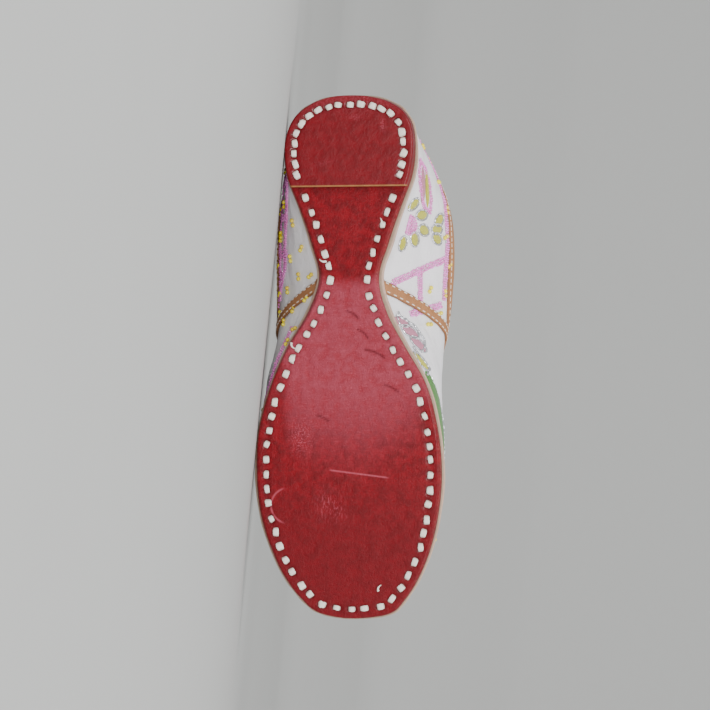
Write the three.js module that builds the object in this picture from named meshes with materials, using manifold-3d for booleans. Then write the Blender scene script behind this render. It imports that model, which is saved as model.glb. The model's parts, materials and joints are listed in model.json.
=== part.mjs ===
// A flat leather slipper of the mojari kind for the left foot: a red leather sole with a
// low heel lift, an embroidered satin upper and tan leather bindings. Sizes are in millimetres.
//
// The shoe is modelled standing on the plane z = 0, with the back of its heel at x = 0, its
// toe towards +X and the outer side of the foot towards +Y. The last lines lay it on its
// outer side, where the edge of the sole and the upper touch the floor.

import * as THREE from "three";
import { mergeVertices } from "three/addons/utils/BufferGeometryUtils.js";
import Module from "manifold-3d";

const wasm = await Module();
wasm.setup();

// Driving sizes of the sole
const SHOE_LENGTH = 250;
const HEEL_WIDTH = 62.5;
const WAIST_WIDTH = 27;
const BALL_WIDTH = 88;
const HEEL_LIFT_THICKNESS = 4.5;
const HEEL_LIFT_LENGTH = 43.5;
const OUTSOLE_THICKNESS = 2.6;
const MIDSOLE_THICKNESS = 2.8;
const TOE_SPRING = 4.5;
const EDGE_STEP = 0.4; // the undyed layer stands this far out from the red one
const EDGE_SPREAD = 2.6; // how far the edge of the sole leans out at the waist
const LIFT_TAPER = 0.5;

// Driving sizes of the upper
const WALL = 2;
const INSTEP_HEIGHT = 56;
const COLLAR_HEIGHT = 48;
const COLLAR_WIDTH = 93;
const WELT = 1.5; // the rim of the sole that shows outside the foot of the upper
const DOME_POWER = 2.3; // 2 would make the cross-section of the vamp an ellipse
const ROLL_POWER = 1.6; // how quickly the wall leans out over the edge of the sole

// Driving sizes of the trims and the insole
const BINDING_THICKNESS = 1.1;
const BINDING_DEPTH = 5;
const BAND_WIDTH = 5.6;
const BAND_FOOT_FROM_HEEL = 91;
const CORNER_FROM_HEEL = 117.5;
const THROAT_FROM_HEEL = 155;
const INSOLE_THICKNESS = 1.8;
const GAP = 0.3; // between pieces that are glued or sewn to each other

// Fineness of the faceted surfaces
const QUARTER_STEPS = 24;
const THROAT_STEPS = 13;
const VAMP_STEPS = 17;
const WALL_ROWS = 11;
const SOLE_STEPS = 56;
const BAND_ROWS = 13;

// The outline of the red sole: half-widths to each side of the centre line, from the back
// of the heel (at 0) to the tip of the toe (at 1).
const SOLE_OUTLINE = [
  { at: 0, lateral: 0, medial: 0 },
  { at: 0.003, lateral: 0.158 * HEEL_WIDTH, medial: 0.172 * HEEL_WIDTH },
  { at: 0.018, lateral: 0.322 * HEEL_WIDTH, medial: 0.35 * HEEL_WIDTH },
  { at: 0.049, lateral: 0.448 * HEEL_WIDTH, medial: 0.464 * HEEL_WIDTH },
  { at: 0.096, lateral: 0.503 * HEEL_WIDTH, medial: 0.496 * HEEL_WIDTH },
  { at: 0.157, lateral: 0.478 * HEEL_WIDTH, medial: 0.464 * HEEL_WIDTH },
  { at: 0.219, lateral: 0.382 * HEEL_WIDTH, medial: 0.37 * HEEL_WIDTH },
  { at: 0.281, lateral: 0.676 * WAIST_WIDTH, medial: 0.65 * WAIST_WIDTH },
  { at: 0.354, lateral: 0.517 * WAIST_WIDTH, medial: 0.476 * WAIST_WIDTH },
  { at: 0.416, lateral: 0.715 * WAIST_WIDTH, medial: 0.622 * WAIST_WIDTH },
  { at: 0.48, lateral: 0.33 * BALL_WIDTH, medial: 0.292 * BALL_WIDTH },
  { at: 0.543, lateral: 0.412 * BALL_WIDTH, medial: 0.398 * BALL_WIDTH },
  { at: 0.634, lateral: 0.489 * BALL_WIDTH, medial: 0.473 * BALL_WIDTH },
  { at: 0.73, lateral: 0.503 * BALL_WIDTH, medial: 0.494 * BALL_WIDTH },
  { at: 0.806, lateral: 0.478 * BALL_WIDTH, medial: 0.472 * BALL_WIDTH },
  { at: 0.868, lateral: 0.424 * BALL_WIDTH, medial: 0.43 * BALL_WIDTH },
  { at: 0.914, lateral: 0.366 * BALL_WIDTH, medial: 0.378 * BALL_WIDTH },
  { at: 0.96, lateral: 0.274 * BALL_WIDTH, medial: 0.299 * BALL_WIDTH },
  { at: 0.991, lateral: 0.162 * BALL_WIDTH, medial: 0.2 * BALL_WIDTH },
  { at: 1, lateral: 0, medial: 0 },
];

// How far the edge of the sole leans out from its red face to the top of the undyed layer.
const EDGE_LEAN = [
  { at: 0, lean: 0.23 * EDGE_SPREAD },
  { at: 0.12, lean: 0.27 * EDGE_SPREAD },
  { at: 0.22, lean: 0.62 * EDGE_SPREAD },
  { at: 0.34, lean: EDGE_SPREAD },
  { at: 0.46, lean: 0.77 * EDGE_SPREAD },
  { at: 0.6, lean: 0.5 * EDGE_SPREAD },
  { at: 0.75, lean: 0.54 * EDGE_SPREAD },
  { at: 0.9, lean: 0.38 * EDGE_SPREAD },
  { at: 1, lean: 0.31 * EDGE_SPREAD },
];

// The height of the outsole's red face: 0 stands for the floor, 1 for the top of the heel lift.
const SOLE_RISE = [
  { at: 0, rise: 1 },
  { at: 0.19, rise: 1 },
  { at: 0.26, rise: 0.9 },
  { at: 0.36, rise: 0.5 },
  { at: 0.46, rise: 0.1 },
  { at: 0.52, rise: 0 },
  { at: 0.8, rise: 0 },
  { at: 1, rise: 0 },
];
const FLAT_FROM = 0.52;
const SPRING_FROM = 0.8;
const SPRING_POWER = 1.8;

// The widest line of the upper's wall, and the height over which the wall rolls out to it.
const BODY = [
  { at: 0, lateral: 0, medial: 0, roll: 0.3 * COLLAR_HEIGHT },
  { at: 0.003, lateral: 0.155 * HEEL_WIDTH, medial: 0.17 * HEEL_WIDTH, roll: 0.3 * COLLAR_HEIGHT },
  { at: 0.018, lateral: 0.322 * HEEL_WIDTH, medial: 0.35 * HEEL_WIDTH, roll: 0.3 * COLLAR_HEIGHT },
  { at: 0.049, lateral: 0.456 * HEEL_WIDTH, medial: 0.468 * HEEL_WIDTH, roll: 0.35 * COLLAR_HEIGHT },
  { at: 0.08, lateral: 0.338 * COLLAR_WIDTH, medial: 0.35 * COLLAR_WIDTH, roll: 0.43 * COLLAR_HEIGHT },
  { at: 0.12, lateral: 0.378 * COLLAR_WIDTH, medial: 0.403 * COLLAR_WIDTH, roll: 0.57 * COLLAR_HEIGHT },
  { at: 0.16, lateral: 0.412 * COLLAR_WIDTH, medial: 0.446 * COLLAR_WIDTH, roll: 0.7 * COLLAR_HEIGHT },
  { at: 0.2, lateral: 0.439 * COLLAR_WIDTH, medial: 0.484 * COLLAR_WIDTH, roll: 0.8 * COLLAR_HEIGHT },
  { at: 0.25, lateral: 0.462 * COLLAR_WIDTH, medial: 0.515 * COLLAR_WIDTH, roll: 0.87 * COLLAR_HEIGHT },
  { at: 0.32, lateral: 0.475 * COLLAR_WIDTH, medial: 0.529 * COLLAR_WIDTH, roll: 0.89 * COLLAR_HEIGHT },
  { at: 0.39, lateral: 0.476 * COLLAR_WIDTH, medial: 0.523 * COLLAR_WIDTH, roll: 0.87 * COLLAR_HEIGHT },
  { at: 0.47, lateral: 0.47 * COLLAR_WIDTH, medial: 0.503 * COLLAR_WIDTH, roll: 0.74 * COLLAR_HEIGHT },
  { at: 0.55, lateral: 0.517 * BALL_WIDTH, medial: 0.51 * BALL_WIDTH, roll: 0.52 * COLLAR_HEIGHT },
  { at: 0.64, lateral: 0.52 * BALL_WIDTH, medial: 0.514 * BALL_WIDTH, roll: 0.37 * COLLAR_HEIGHT },
  { at: 0.73, lateral: 0.517 * BALL_WIDTH, medial: 0.511 * BALL_WIDTH, roll: 0.3 * COLLAR_HEIGHT },
  { at: 0.806, lateral: 0.492 * BALL_WIDTH, medial: 0.487 * BALL_WIDTH, roll: 0.26 * COLLAR_HEIGHT },
  { at: 0.868, lateral: 0.435 * BALL_WIDTH, medial: 0.443 * BALL_WIDTH, roll: 0.24 * COLLAR_HEIGHT },
  { at: 0.914, lateral: 0.374 * BALL_WIDTH, medial: 0.387 * BALL_WIDTH, roll: 0.22 * COLLAR_HEIGHT },
  { at: 0.96, lateral: 0.278 * BALL_WIDTH, medial: 0.304 * BALL_WIDTH, roll: 0.2 * COLLAR_HEIGHT },
  { at: 0.991, lateral: 0.163 * BALL_WIDTH, medial: 0.202 * BALL_WIDTH, roll: 0.2 * COLLAR_HEIGHT },
  { at: 1, lateral: 0, medial: 0, roll: 0.2 * COLLAR_HEIGHT },
];

// Where each rib of the upper meets the top line of the last, as a share of the length. The
// ribs fan out around the toe and the heel.
const SPINE = [
  { at: 0, along: 0.18 },
  { at: 0.1, along: 0.2 },
  { at: 0.2, along: 0.25 },
  { at: 0.3, along: 0.315 },
  { at: 0.42, along: 0.42 },
  { at: 0.62, along: 0.62 },
  { at: 0.72, along: 0.706 },
  { at: 0.82, along: 0.77 },
  { at: 0.91, along: 0.81 },
  { at: 1, along: 0.83 },
];

// The height of the last's top line along the shoe. Behind the throat it is above the opening.
const CREST = [
  { at: 0, height: 1.8 * INSTEP_HEIGHT },
  { at: 0.06, height: 1.85 * INSTEP_HEIGHT },
  { at: 0.16, height: 2.15 * INSTEP_HEIGHT },
  { at: 0.23, height: 2.25 * INSTEP_HEIGHT },
  { at: 0.3, height: 2.1 * INSTEP_HEIGHT },
  { at: 0.4, height: 1.68 * INSTEP_HEIGHT },
  { at: 0.5, height: 1.29 * INSTEP_HEIGHT },
  { at: 0.56, height: 1.12 * INSTEP_HEIGHT },
  { at: 0.62, height: INSTEP_HEIGHT },
  { at: 0.7, height: 0.86 * INSTEP_HEIGHT },
  { at: 0.78, height: 0.725 * INSTEP_HEIGHT },
  { at: 0.86, height: 0.61 * INSTEP_HEIGHT },
  { at: 0.94, height: 0.53 * INSTEP_HEIGHT },
  { at: 1, height: 0.49 * INSTEP_HEIGHT },
];

// The edge of the quarters, from the back of the heel to the corner where the vamp begins.
const COLLAR_LINE = [
  { at: 0, height: 1.3 * COLLAR_HEIGHT },
  { at: 0.03, height: 1.27 * COLLAR_HEIGHT },
  { at: 0.09, height: 1.14 * COLLAR_HEIGHT },
  { at: 0.18, height: 1.03 * COLLAR_HEIGHT },
  { at: 0.28, height: 0.99 * COLLAR_HEIGHT },
  { at: 0.4, height: 0.965 * COLLAR_HEIGHT },
  { at: 0.52, height: 0.955 * COLLAR_HEIGHT },
];

const LATERAL = 1;
const MEDIAL = -1;
const TOP = Math.PI / 2;

// A station is a share of the length from 0 to 1. Its turn also runs from 0 to 1 but opens up
// both ends, so that an outline is smooth where it rounds the heel and the toe.
const turnOf = (share) => Math.acos(1 - 2 * Math.min(Math.max(share, 0), 1)) / Math.PI;
const shareOf = (turn) => (1 - Math.cos(Math.PI * turn)) / 2;
const clamp = (value, low, high) => Math.min(Math.max(value, low), high);

// A smooth curve through one column of a table, as a function of the turn.
function smooth(rows, column) {
  const turns = rows.map((row) => turnOf(row.at));
  const values = rows.map((row) => row[column]);
  const last = rows.length - 1;
  const secant = (i) => (values[i + 1] - values[i]) / (turns[i + 1] - turns[i]);
  const slopes = values.map((_, i) => {
    if (i === 0) return secant(0);
    if (i === last) return secant(last - 1);
    const before = turns[i] - turns[i - 1];
    const after = turns[i + 1] - turns[i];
    return (secant(i - 1) * after + secant(i) * before) / (before + after);
  });
  return (turn) => {
    const t = clamp(turn, turns[0], turns[last]);
    let i = 0;
    while (i < last - 1 && t > turns[i + 1]) i += 1;
    const span = turns[i + 1] - turns[i];
    const s = (t - turns[i]) / span;
    const stay = (1 + 2 * s) * (1 - s) ** 2 * values[i] + s * s * (3 - 2 * s) * values[i + 1];
    return stay + span * s * (1 - s) * ((1 - s) * slopes[i] - s * slopes[i + 1]);
  };
}

const soleHalf = {
  [LATERAL]: smooth(SOLE_OUTLINE, "lateral"),
  [MEDIAL]: smooth(SOLE_OUTLINE, "medial"),
};
const bodyHalf = { [LATERAL]: smooth(BODY, "lateral"), [MEDIAL]: smooth(BODY, "medial") };
const rollHeight = smooth(BODY, "roll");
const edgeLean = smooth(EDGE_LEAN, "lean");
const spineShare = smooth(SPINE, "along");
const crest = smooth(CREST, "height");
const collarLine = smooth(COLLAR_LINE, "height");
const riseShare = smooth(SOLE_RISE, "rise");

// Heights of the layers under the foot, at a share of the length
function soleBottom(share) {
  const seat = HEEL_LIFT_THICKNESS + GAP;
  if (share > SPRING_FROM) {
    return TOE_SPRING * ((share - SPRING_FROM) / (1 - SPRING_FROM)) ** SPRING_POWER;
  }
  return share >= FLAT_FROM ? 0 : seat * clamp(riseShare(turnOf(share)), 0, 1);
}
const midsoleBottom = (share) => soleBottom(share) + OUTSOLE_THICKNESS + GAP;
const soleTop = (share) => midsoleBottom(share) + MIDSOLE_THICKNESS;
const upperFoot = (share) => soleTop(share) + GAP;

// A point of an outline around the sole that lies `out` outside the red face's outline.
function outlinePoint(side, turn, out) {
  const stretch = (SHOE_LENGTH + 2 * out) / SHOE_LENGTH;
  const half = soleHalf[side](turn);
  const blunt = Math.min(1, half / (0.25 * HEEL_WIDTH));
  return { x: shareOf(turn) * SHOE_LENGTH * stretch - out, y: side * (half + out * blunt) };
}
const edgeOut = (turn) => edgeLean(turn) + EDGE_STEP;

// The outer surface of the upper. A rib starts at the sole (angle 0) and ends on the crest
// (angle TOP); beyond its ends and beyond heel and toe the surface goes on to the other side.
function lastPoint(side, turn, angle) {
  if (turn < 0) return lastPoint(-side, -turn, angle);
  if (turn > 1) return lastPoint(-side, 2 - turn, angle);
  if (angle > TOP) return lastPoint(-side, turn, Math.PI - angle);
  const share = shareOf(turn);
  const foot = outlinePoint(side, turn, edgeOut(turn) - WELT);
  const wideX = clamp(foot.x, 0, SHOE_LENGTH);
  const wideY = side * Math.max(bodyHalf[side](turn), Math.abs(foot.y));
  const spineX = spineShare(turn) * SHOE_LENGTH;
  const inward = Math.cos(angle) ** (2 / DOME_POWER);
  const upward = Math.max(Math.sin(angle), 0) ** (2 / DOME_POWER);
  const x = spineX + (wideX - spineX) * inward;
  const floor = upperFoot(share);
  const z = floor + (crest(turnOf(x / SHOE_LENGTH)) - floor) * upward;
  const rolled = (1 - clamp((z - floor) / rollHeight(turn), 0, 1)) ** ROLL_POWER;
  return new THREE.Vector3(
    x + (foot.x - wideX) * rolled,
    wideY * inward + (foot.y - wideY) * rolled,
    z,
  );
}

// The outward normal of that surface
function lastNormal(side, turn, angle) {
  const step = 1e-3;
  const along = lastPoint(side, turn + step, angle).sub(lastPoint(side, turn - step, angle));
  const low = Math.max(angle - step, 0);
  const up = lastPoint(side, turn, angle + step).sub(lastPoint(side, turn, low));
  return along.cross(up).multiplyScalar(-side).normalize();
}

// A point that lies `out` outside the upper's outer surface. At the foot of the wall it moves
// level, so that the foot stays flat on the sole.
function wallPoint(side, turn, angle, out) {
  const normal = lastNormal(side, turn, angle);
  if (angle === 0) {
    const level = Math.hypot(normal.x, normal.y);
    normal.set(normal.x / level ** 2, normal.y / level ** 2, 0);
  }
  return lastPoint(side, turn, angle).addScaledVector(normal, out);
}

// The angle at which a rib reaches a height
function angleAt(side, turn, height) {
  let low = 0;
  let high = TOP;
  for (let i = 0; i < 40; i += 1) {
    const middle = (low + high) / 2;
    if (lastPoint(side, turn, middle).z < height) low = middle;
    else high = middle;
  }
  return (low + high) / 2;
}

const CORNER_TURN = turnOf(CORNER_FROM_HEEL / SHOE_LENGTH);

// Lines around the opening, `drop` below its edge. The stretch from 0 to 1 runs along the
// quarter from the back of the heel to the corner, and from 1 to 2 along the throat.
function edgeAt(side, stretch, drop) {
  const cornerHeight = collarLine(CORNER_TURN);
  if (stretch <= 1) {
    const turn = CORNER_TURN * stretch;
    return { turn, angle: angleAt(side, turn, collarLine(turn) - drop) };
  }
  const s = stretch - 1;
  const tipTurn = turnOf((THROAT_FROM_HEEL + drop) / SHOE_LENGTH);
  const run = 1 - (1 - s) ** 2;
  const turn = CORNER_TURN + (tipTurn - CORNER_TURN) * run;
  if (s === 1) return { turn, angle: TOP };
  const tipHeight = lastPoint(side, tipTurn, TOP).z;
  const height = cornerHeight - drop + (tipHeight - cornerHeight + drop) * run;
  return { turn, angle: angleAt(side, turn, height) };
}

// Closed meshes, put together from four-sided and three-sided faces
class Faces {
  corners = [];

  tri(a, b, c) {
    for (const point of [a, b, c]) this.corners.push(point.x, point.y, point.z);
  }

  quad(a, b, c, d) {
    this.tri(a, b, c);
    this.tri(a, c, d);
  }

  // The same faces for a mirrored side keep facing out when their order is turned round.
  quadOn(side, a, b, c, d) {
    if (side === LATERAL) this.quad(a, b, c, d);
    else this.quad(d, c, b, a);
  }

  solid() {
    const position = new THREE.BufferAttribute(new Float32Array(this.corners), 3);
    const merged = mergeVertices(new THREE.BufferGeometry().setAttribute("position", position), 1e-3);
    const kept = [];
    const index = merged.index.array;
    for (let i = 0; i < index.length; i += 3) {
      const [a, b, c] = [index[i], index[i + 1], index[i + 2]];
      if (a !== b && b !== c && c !== a) kept.push(a, b, c);
    }
    return new wasm.Manifold(new wasm.Mesh({
      numProp: 3,
      vertProperties: merged.attributes.position.array,
      triVerts: new Uint32Array(kept),
    }));
  }
}

// A slab of the sole between two outlines. It is laid like a ladder, rung by rung from heel to
// toe, so every face between two rungs is flat.
function slab({ from, to, bottom, top, lowOut, highOut }) {
  const faces = new Faces();
  const first = turnOf(from);
  const last = turnOf(to);
  const rungs = [];
  for (let i = 0; i <= SOLE_STEPS; i += 1) {
    const turn = first + ((last - first) * i) / SOLE_STEPS;
    const share = shareOf(turn);
    const corner = (side, out, height) => {
      const { x, y } = outlinePoint(side, turn, out(turn));
      return new THREE.Vector3(x, y, height(share));
    };
    rungs.push({
      lowLeft: corner(LATERAL, lowOut, bottom),
      lowRight: corner(MEDIAL, lowOut, bottom),
      highLeft: corner(LATERAL, highOut, top),
      highRight: corner(MEDIAL, highOut, top),
    });
  }
  const end = (rung, order) => {
    const loop = [rung.lowLeft, rung.lowRight, rung.highRight, rung.highLeft];
    faces.quad(...(order > 0 ? loop : loop.reverse()));
  };
  end(rungs[0], 1);
  for (let i = 0; i < SOLE_STEPS; i += 1) {
    const a = rungs[i];
    const b = rungs[i + 1];
    faces.quad(a.lowLeft, b.lowLeft, b.lowRight, a.lowRight);
    faces.quad(a.highLeft, a.highRight, b.highRight, b.highLeft);
    faces.quad(a.lowLeft, a.highLeft, b.highLeft, b.lowLeft);
    faces.quad(a.lowRight, b.lowRight, b.highRight, a.highRight);
  }
  end(rungs[SOLE_STEPS], -1);
  return faces.solid();
}

// The stations of the upper's ribs on one side, each with the angle where its wall ends
function ribs(side) {
  const list = [];
  for (let i = 0; i < QUARTER_STEPS; i += 1) list.push(edgeAt(side, i / QUARTER_STEPS, 0));
  for (let i = 0; i <= THROAT_STEPS; i += 1) list.push(edgeAt(side, 1 + i / THROAT_STEPS, 0));
  const tipTurn = list[list.length - 1].turn;
  for (let i = 1; i <= VAMP_STEPS; i += 1) {
    list.push({ turn: tipTurn + ((1 - tipTurn) * i) / VAMP_STEPS, angle: TOP });
  }
  return list;
}

// The upper: one wall, open along the collar and the throat and underneath
function upperSolid() {
  const faces = new Faces();
  for (const side of [LATERAL, MEDIAL]) {
    const columns = ribs(side).map(({ turn, angle }) => {
      const rows = (out) => Array.from({ length: WALL_ROWS + 1 }, (_, row) =>
        wallPoint(side, turn, (angle * row) / WALL_ROWS, out));
      return { outer: rows(0), inner: rows(-WALL) };
    });
    for (let i = 0; i + 1 < columns.length; i += 1) {
      const a = columns[i];
      const b = columns[i + 1];
      for (let row = 0; row < WALL_ROWS; row += 1) {
        faces.quadOn(side, a.outer[row], a.outer[row + 1], b.outer[row + 1], b.outer[row]);
        faces.quadOn(side, a.inner[row], b.inner[row], b.inner[row + 1], a.inner[row + 1]);
      }
      faces.quadOn(side, a.outer[0], b.outer[0], b.inner[0], a.inner[0]);
      if (i < QUARTER_STEPS + THROAT_STEPS) {
        const t = WALL_ROWS;
        faces.quadOn(side, a.outer[t], a.inner[t], b.inner[t], b.outer[t]);
      }
    }
  }
  return faces.solid();
}

// One section of a strip folded over the edge of the wall: a loop of points, outside first
function bindingSection(side, stretch) {
  const drops = [BINDING_DEPTH, BINDING_DEPTH / 2, 0];
  const places = drops.map((drop) => edgeAt(side, stretch, drop));
  const face = (out) => places.map(({ turn, angle }) => wallPoint(side, turn, angle, out));
  const [, below, edge] = places.map(({ turn, angle }) => lastPoint(side, turn, angle));
  const rise = edge.clone().sub(below).normalize();
  const lifted = (points, lift) => [...points, points[2].clone().addScaledVector(rise, lift)];
  const thick = GAP + BINDING_THICKNESS;
  return [
    ...lifted(face(thick), thick),
    ...lifted(face(-WALL - thick), thick).reverse(),
    ...lifted(face(-WALL - GAP), GAP),
    ...lifted(face(GAP), GAP).reverse(),
  ];
}

// A folded strip along both sides of the opening, closed across the middle at one of its ends
function bindingSolid(stretches) {
  const faces = new Faces();
  for (const side of [LATERAL, MEDIAL]) {
    const sections = stretches.map((stretch) => bindingSection(side, stretch));
    const count = sections[0].length;
    for (let i = 0; i + 1 < sections.length; i += 1) {
      for (let k = 0; k < count; k += 1) {
        const next = (k + 1) % count;
        const a = sections[i];
        const b = sections[i + 1];
        faces.quadOn(side, a[k], a[next], b[next], b[k]);
      }
    }
    const openEnd = stretches[0] === 0 ? sections[sections.length - 1] : sections[0];
    const flip = stretches[0] === 0 ? side : -side;
    for (let k = 0; k < count / 2 - 1; k += 1) {
      faces.quadOn(flip, openEnd[k], openEnd[k + 1], openEnd[count - 2 - k], openEnd[count - 1 - k]);
    }
  }
  return faces.solid();
}

// A band on one quarter, from the sole up to the corner of the opening. It fills the space
// from `inside` to `outside` of the wall, wider by `margin` each way, `above` the edge of the
// wall and `behind` the band's own place.
function bandSolid(side, { inside, outside, margin, above, behind }) {
  const faces = new Faces();
  const half = BAND_WIDTH / 2 + margin;
  const full = 1 + above / COLLAR_HEIGHT;
  const columns = [];
  for (const across of [-1, 0, 1]) {
    const rows = [];
    for (let i = 0; i <= BAND_ROWS; i += 1) {
      const up = (full * i) / BAND_ROWS;
      const run = CORNER_FROM_HEEL - BAND_FOOT_FROM_HEEL;
      const slant = Math.hypot(run, COLLAR_HEIGHT) / COLLAR_HEIGHT;
      const station = BAND_FOOT_FROM_HEEL + run * up + (across * half - behind) * slant;
      const turn = turnOf(station / SHOE_LENGTH);
      const foot = upperFoot(shareOf(turn));
      const angle = i === 0 ? 0 : angleAt(side, turn, foot + (collarLine(turn) - foot) * up);
      rows.push({
        low: wallPoint(side, turn, angle, inside),
        high: wallPoint(side, turn, angle, outside),
      });
    }
    columns.push(rows);
  }
  const last = BAND_ROWS;
  for (let c = 0; c < 2; c += 1) {
    const a = columns[c];
    const b = columns[c + 1];
    for (let i = 0; i < last; i += 1) {
      faces.quadOn(side, a[i].high, a[i + 1].high, b[i + 1].high, b[i].high);
      faces.quadOn(side, a[i].low, b[i].low, b[i + 1].low, a[i + 1].low);
    }
    faces.quadOn(side, a[0].high, b[0].high, b[0].low, a[0].low);
    faces.quadOn(side, a[last].high, a[last].low, b[last].low, b[last].high);
  }
  const back = columns[0];
  const front = columns[2];
  for (let i = 0; i < last; i += 1) {
    faces.quadOn(side, back[i].high, back[i].low, back[i + 1].low, back[i + 1].high);
    faces.quadOn(side, front[i].high, front[i + 1].high, front[i + 1].low, front[i].low);
  }
  return faces.solid();
}

// The insole fills the foot of the upper, a gap inside its wall.
function insoleSolid() {
  const faces = new Faces();
  const rungs = [];
  for (let i = 0; i <= SOLE_STEPS; i += 1) {
    const turn = i / SOLE_STEPS;
    const corner = (side, height) => {
      const { x, y } = wallPoint(side, turn, 0, -WALL - GAP);
      const base = soleTop(clamp(x / SHOE_LENGTH, 0, 1)) + GAP;
      return new THREE.Vector3(x, y, base + height);
    };
    rungs.push([corner(LATERAL, 0), corner(MEDIAL, 0), corner(MEDIAL, INSOLE_THICKNESS),
      corner(LATERAL, INSOLE_THICKNESS)]);
  }
  for (let i = 0; i < SOLE_STEPS; i += 1) {
    const a = rungs[i];
    const b = rungs[i + 1];
    for (let k = 0; k < 4; k += 1) {
      const next = (k + 1) % 4;
      faces.quad(a[k], b[k], b[next], a[next]);
    }
  }
  return faces.solid();
}

// Colours and finishes
const redLeather = new THREE.MeshStandardMaterial({ color: 0xa81c26, roughness: 0.38, metalness: 0 });
const bareLeather = new THREE.MeshStandardMaterial({ color: 0xcda98c, roughness: 0.7, metalness: 0 });
const lining = new THREE.MeshStandardMaterial({ color: 0xb98a5e, roughness: 0.75, metalness: 0 });
const satin = new THREE.MeshStandardMaterial({ color: 0xe4e2e4, roughness: 0.4, metalness: 0 });
const tanLeather = new THREE.MeshStandardMaterial({ color: 0xa96e42, roughness: 0.6, metalness: 0 });

function meshOf(name, solid, material) {
  const { vertProperties, numProp, triVerts, numVert } = solid.getMesh();
  const position = new Float32Array(numVert * 3);
  for (let i = 0; i < numVert; i += 1) {
    position.set(vertProperties.subarray(i * numProp, i * numProp + 3), i * 3);
  }
  const geometry = new THREE.BufferGeometry();
  geometry.setAttribute("position", new THREE.BufferAttribute(position, 3));
  geometry.setIndex(new THREE.BufferAttribute(triVerts, 1));
  geometry.computeVertexNormals();
  const mesh = new THREE.Mesh(geometry, material);
  mesh.name = name;
  return mesh;
}

const shoe = new THREE.Group();

// Sole
const stepShare = OUTSOLE_THICKNESS / (OUTSOLE_THICKNESS + MIDSOLE_THICKNESS);
shoe.add(meshOf("heel_lift", slab({
  from: 0,
  to: HEEL_LIFT_LENGTH / SHOE_LENGTH,
  bottom: () => 0,
  top: () => HEEL_LIFT_THICKNESS,
  lowOut: () => -LIFT_TAPER,
  highOut: () => 0,
}), redLeather));
shoe.add(meshOf("outsole", slab({
  from: 0,
  to: 1,
  bottom: soleBottom,
  top: (share) => soleBottom(share) + OUTSOLE_THICKNESS,
  lowOut: () => 0,
  highOut: (turn) => edgeLean(turn) * stepShare,
}), redLeather));
shoe.add(meshOf("midsole", slab({
  from: 0,
  to: 1,
  bottom: midsoleBottom,
  top: soleTop,
  lowOut: (turn) => edgeLean(turn) * stepShare + EDGE_STEP,
  highOut: edgeOut,
}), bareLeather));
shoe.add(meshOf("insole", insoleSolid(), lining));

// Upper
shoe.add(meshOf("upper", upperSolid(), satin));

// Bindings: the vamp's strip with its two bands, and the collar's strip that ends at them.
// Both strips run a little past the back edge of the bands and are cut off along it.
const stretchAt = (fromHeel) => turnOf(fromHeel / SHOE_LENGTH) / CORNER_TURN;
const quarterStretches = Array.from({ length: QUARTER_STEPS }, (_, i) => i / QUARTER_STEPS);
quarterStretches.push(stretchAt(CORNER_FROM_HEEL - BAND_WIDTH / 4));
const throatStretches = Array.from({ length: THROAT_STEPS + 1 }, (_, i) => 1 + i / THROAT_STEPS);
throatStretches.unshift(quarterStretches[QUARTER_STEPS - 1]);

const bandPlace = {
  inside: 1.3 * GAP,
  outside: GAP + 0.9 * BINDING_THICKNESS,
  margin: 0,
  above: 0,
  behind: 0,
};
const collarCut = {
  inside: -WALL - GAP - 2 * BINDING_THICKNESS,
  outside: GAP + 3 * BINDING_THICKNESS,
  margin: GAP,
  above: GAP + 2 * BINDING_THICKNESS,
  behind: 0,
};
const vampCut = { ...collarCut, margin: BAND_WIDTH, behind: 2 * BAND_WIDTH };
let collarBinding = bindingSolid(quarterStretches);
let vampBinding = bindingSolid(throatStretches);
for (const side of [LATERAL, MEDIAL]) {
  collarBinding = collarBinding.subtract(bandSolid(side, collarCut));
  vampBinding = vampBinding.subtract(bandSolid(side, vampCut));
}
for (const side of [LATERAL, MEDIAL]) vampBinding = vampBinding.add(bandSolid(side, bandPlace));
shoe.add(meshOf("collar_binding", collarBinding, tanLeather));
shoe.add(meshOf("vamp_binding", vampBinding, tanLeather));

// The corners of all the pieces, and the centre of their volume
function cornersAndCentre(meshes) {
  const corners = [];
  const centre = new THREE.Vector3();
  let volume = 0;
  for (const { geometry } of meshes) {
    const { position } = geometry.attributes;
    const index = geometry.index.array;
    const corner = (i) => new THREE.Vector3().fromBufferAttribute(position, i);
    for (let i = 0; i < position.count; i += 1) corners.push(corner(i));
    for (let i = 0; i < index.length; i += 3) {
      const [a, b, c] = [corner(index[i]), corner(index[i + 1]), corner(index[i + 2])];
      const wedge = a.dot(b.clone().cross(c)) / 6;
      volume += wedge;
      centre.addScaledVector(a.add(b).add(c), wedge / 4);
    }
  }
  return { corners, centre: centre.divideScalar(volume) };
}

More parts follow.
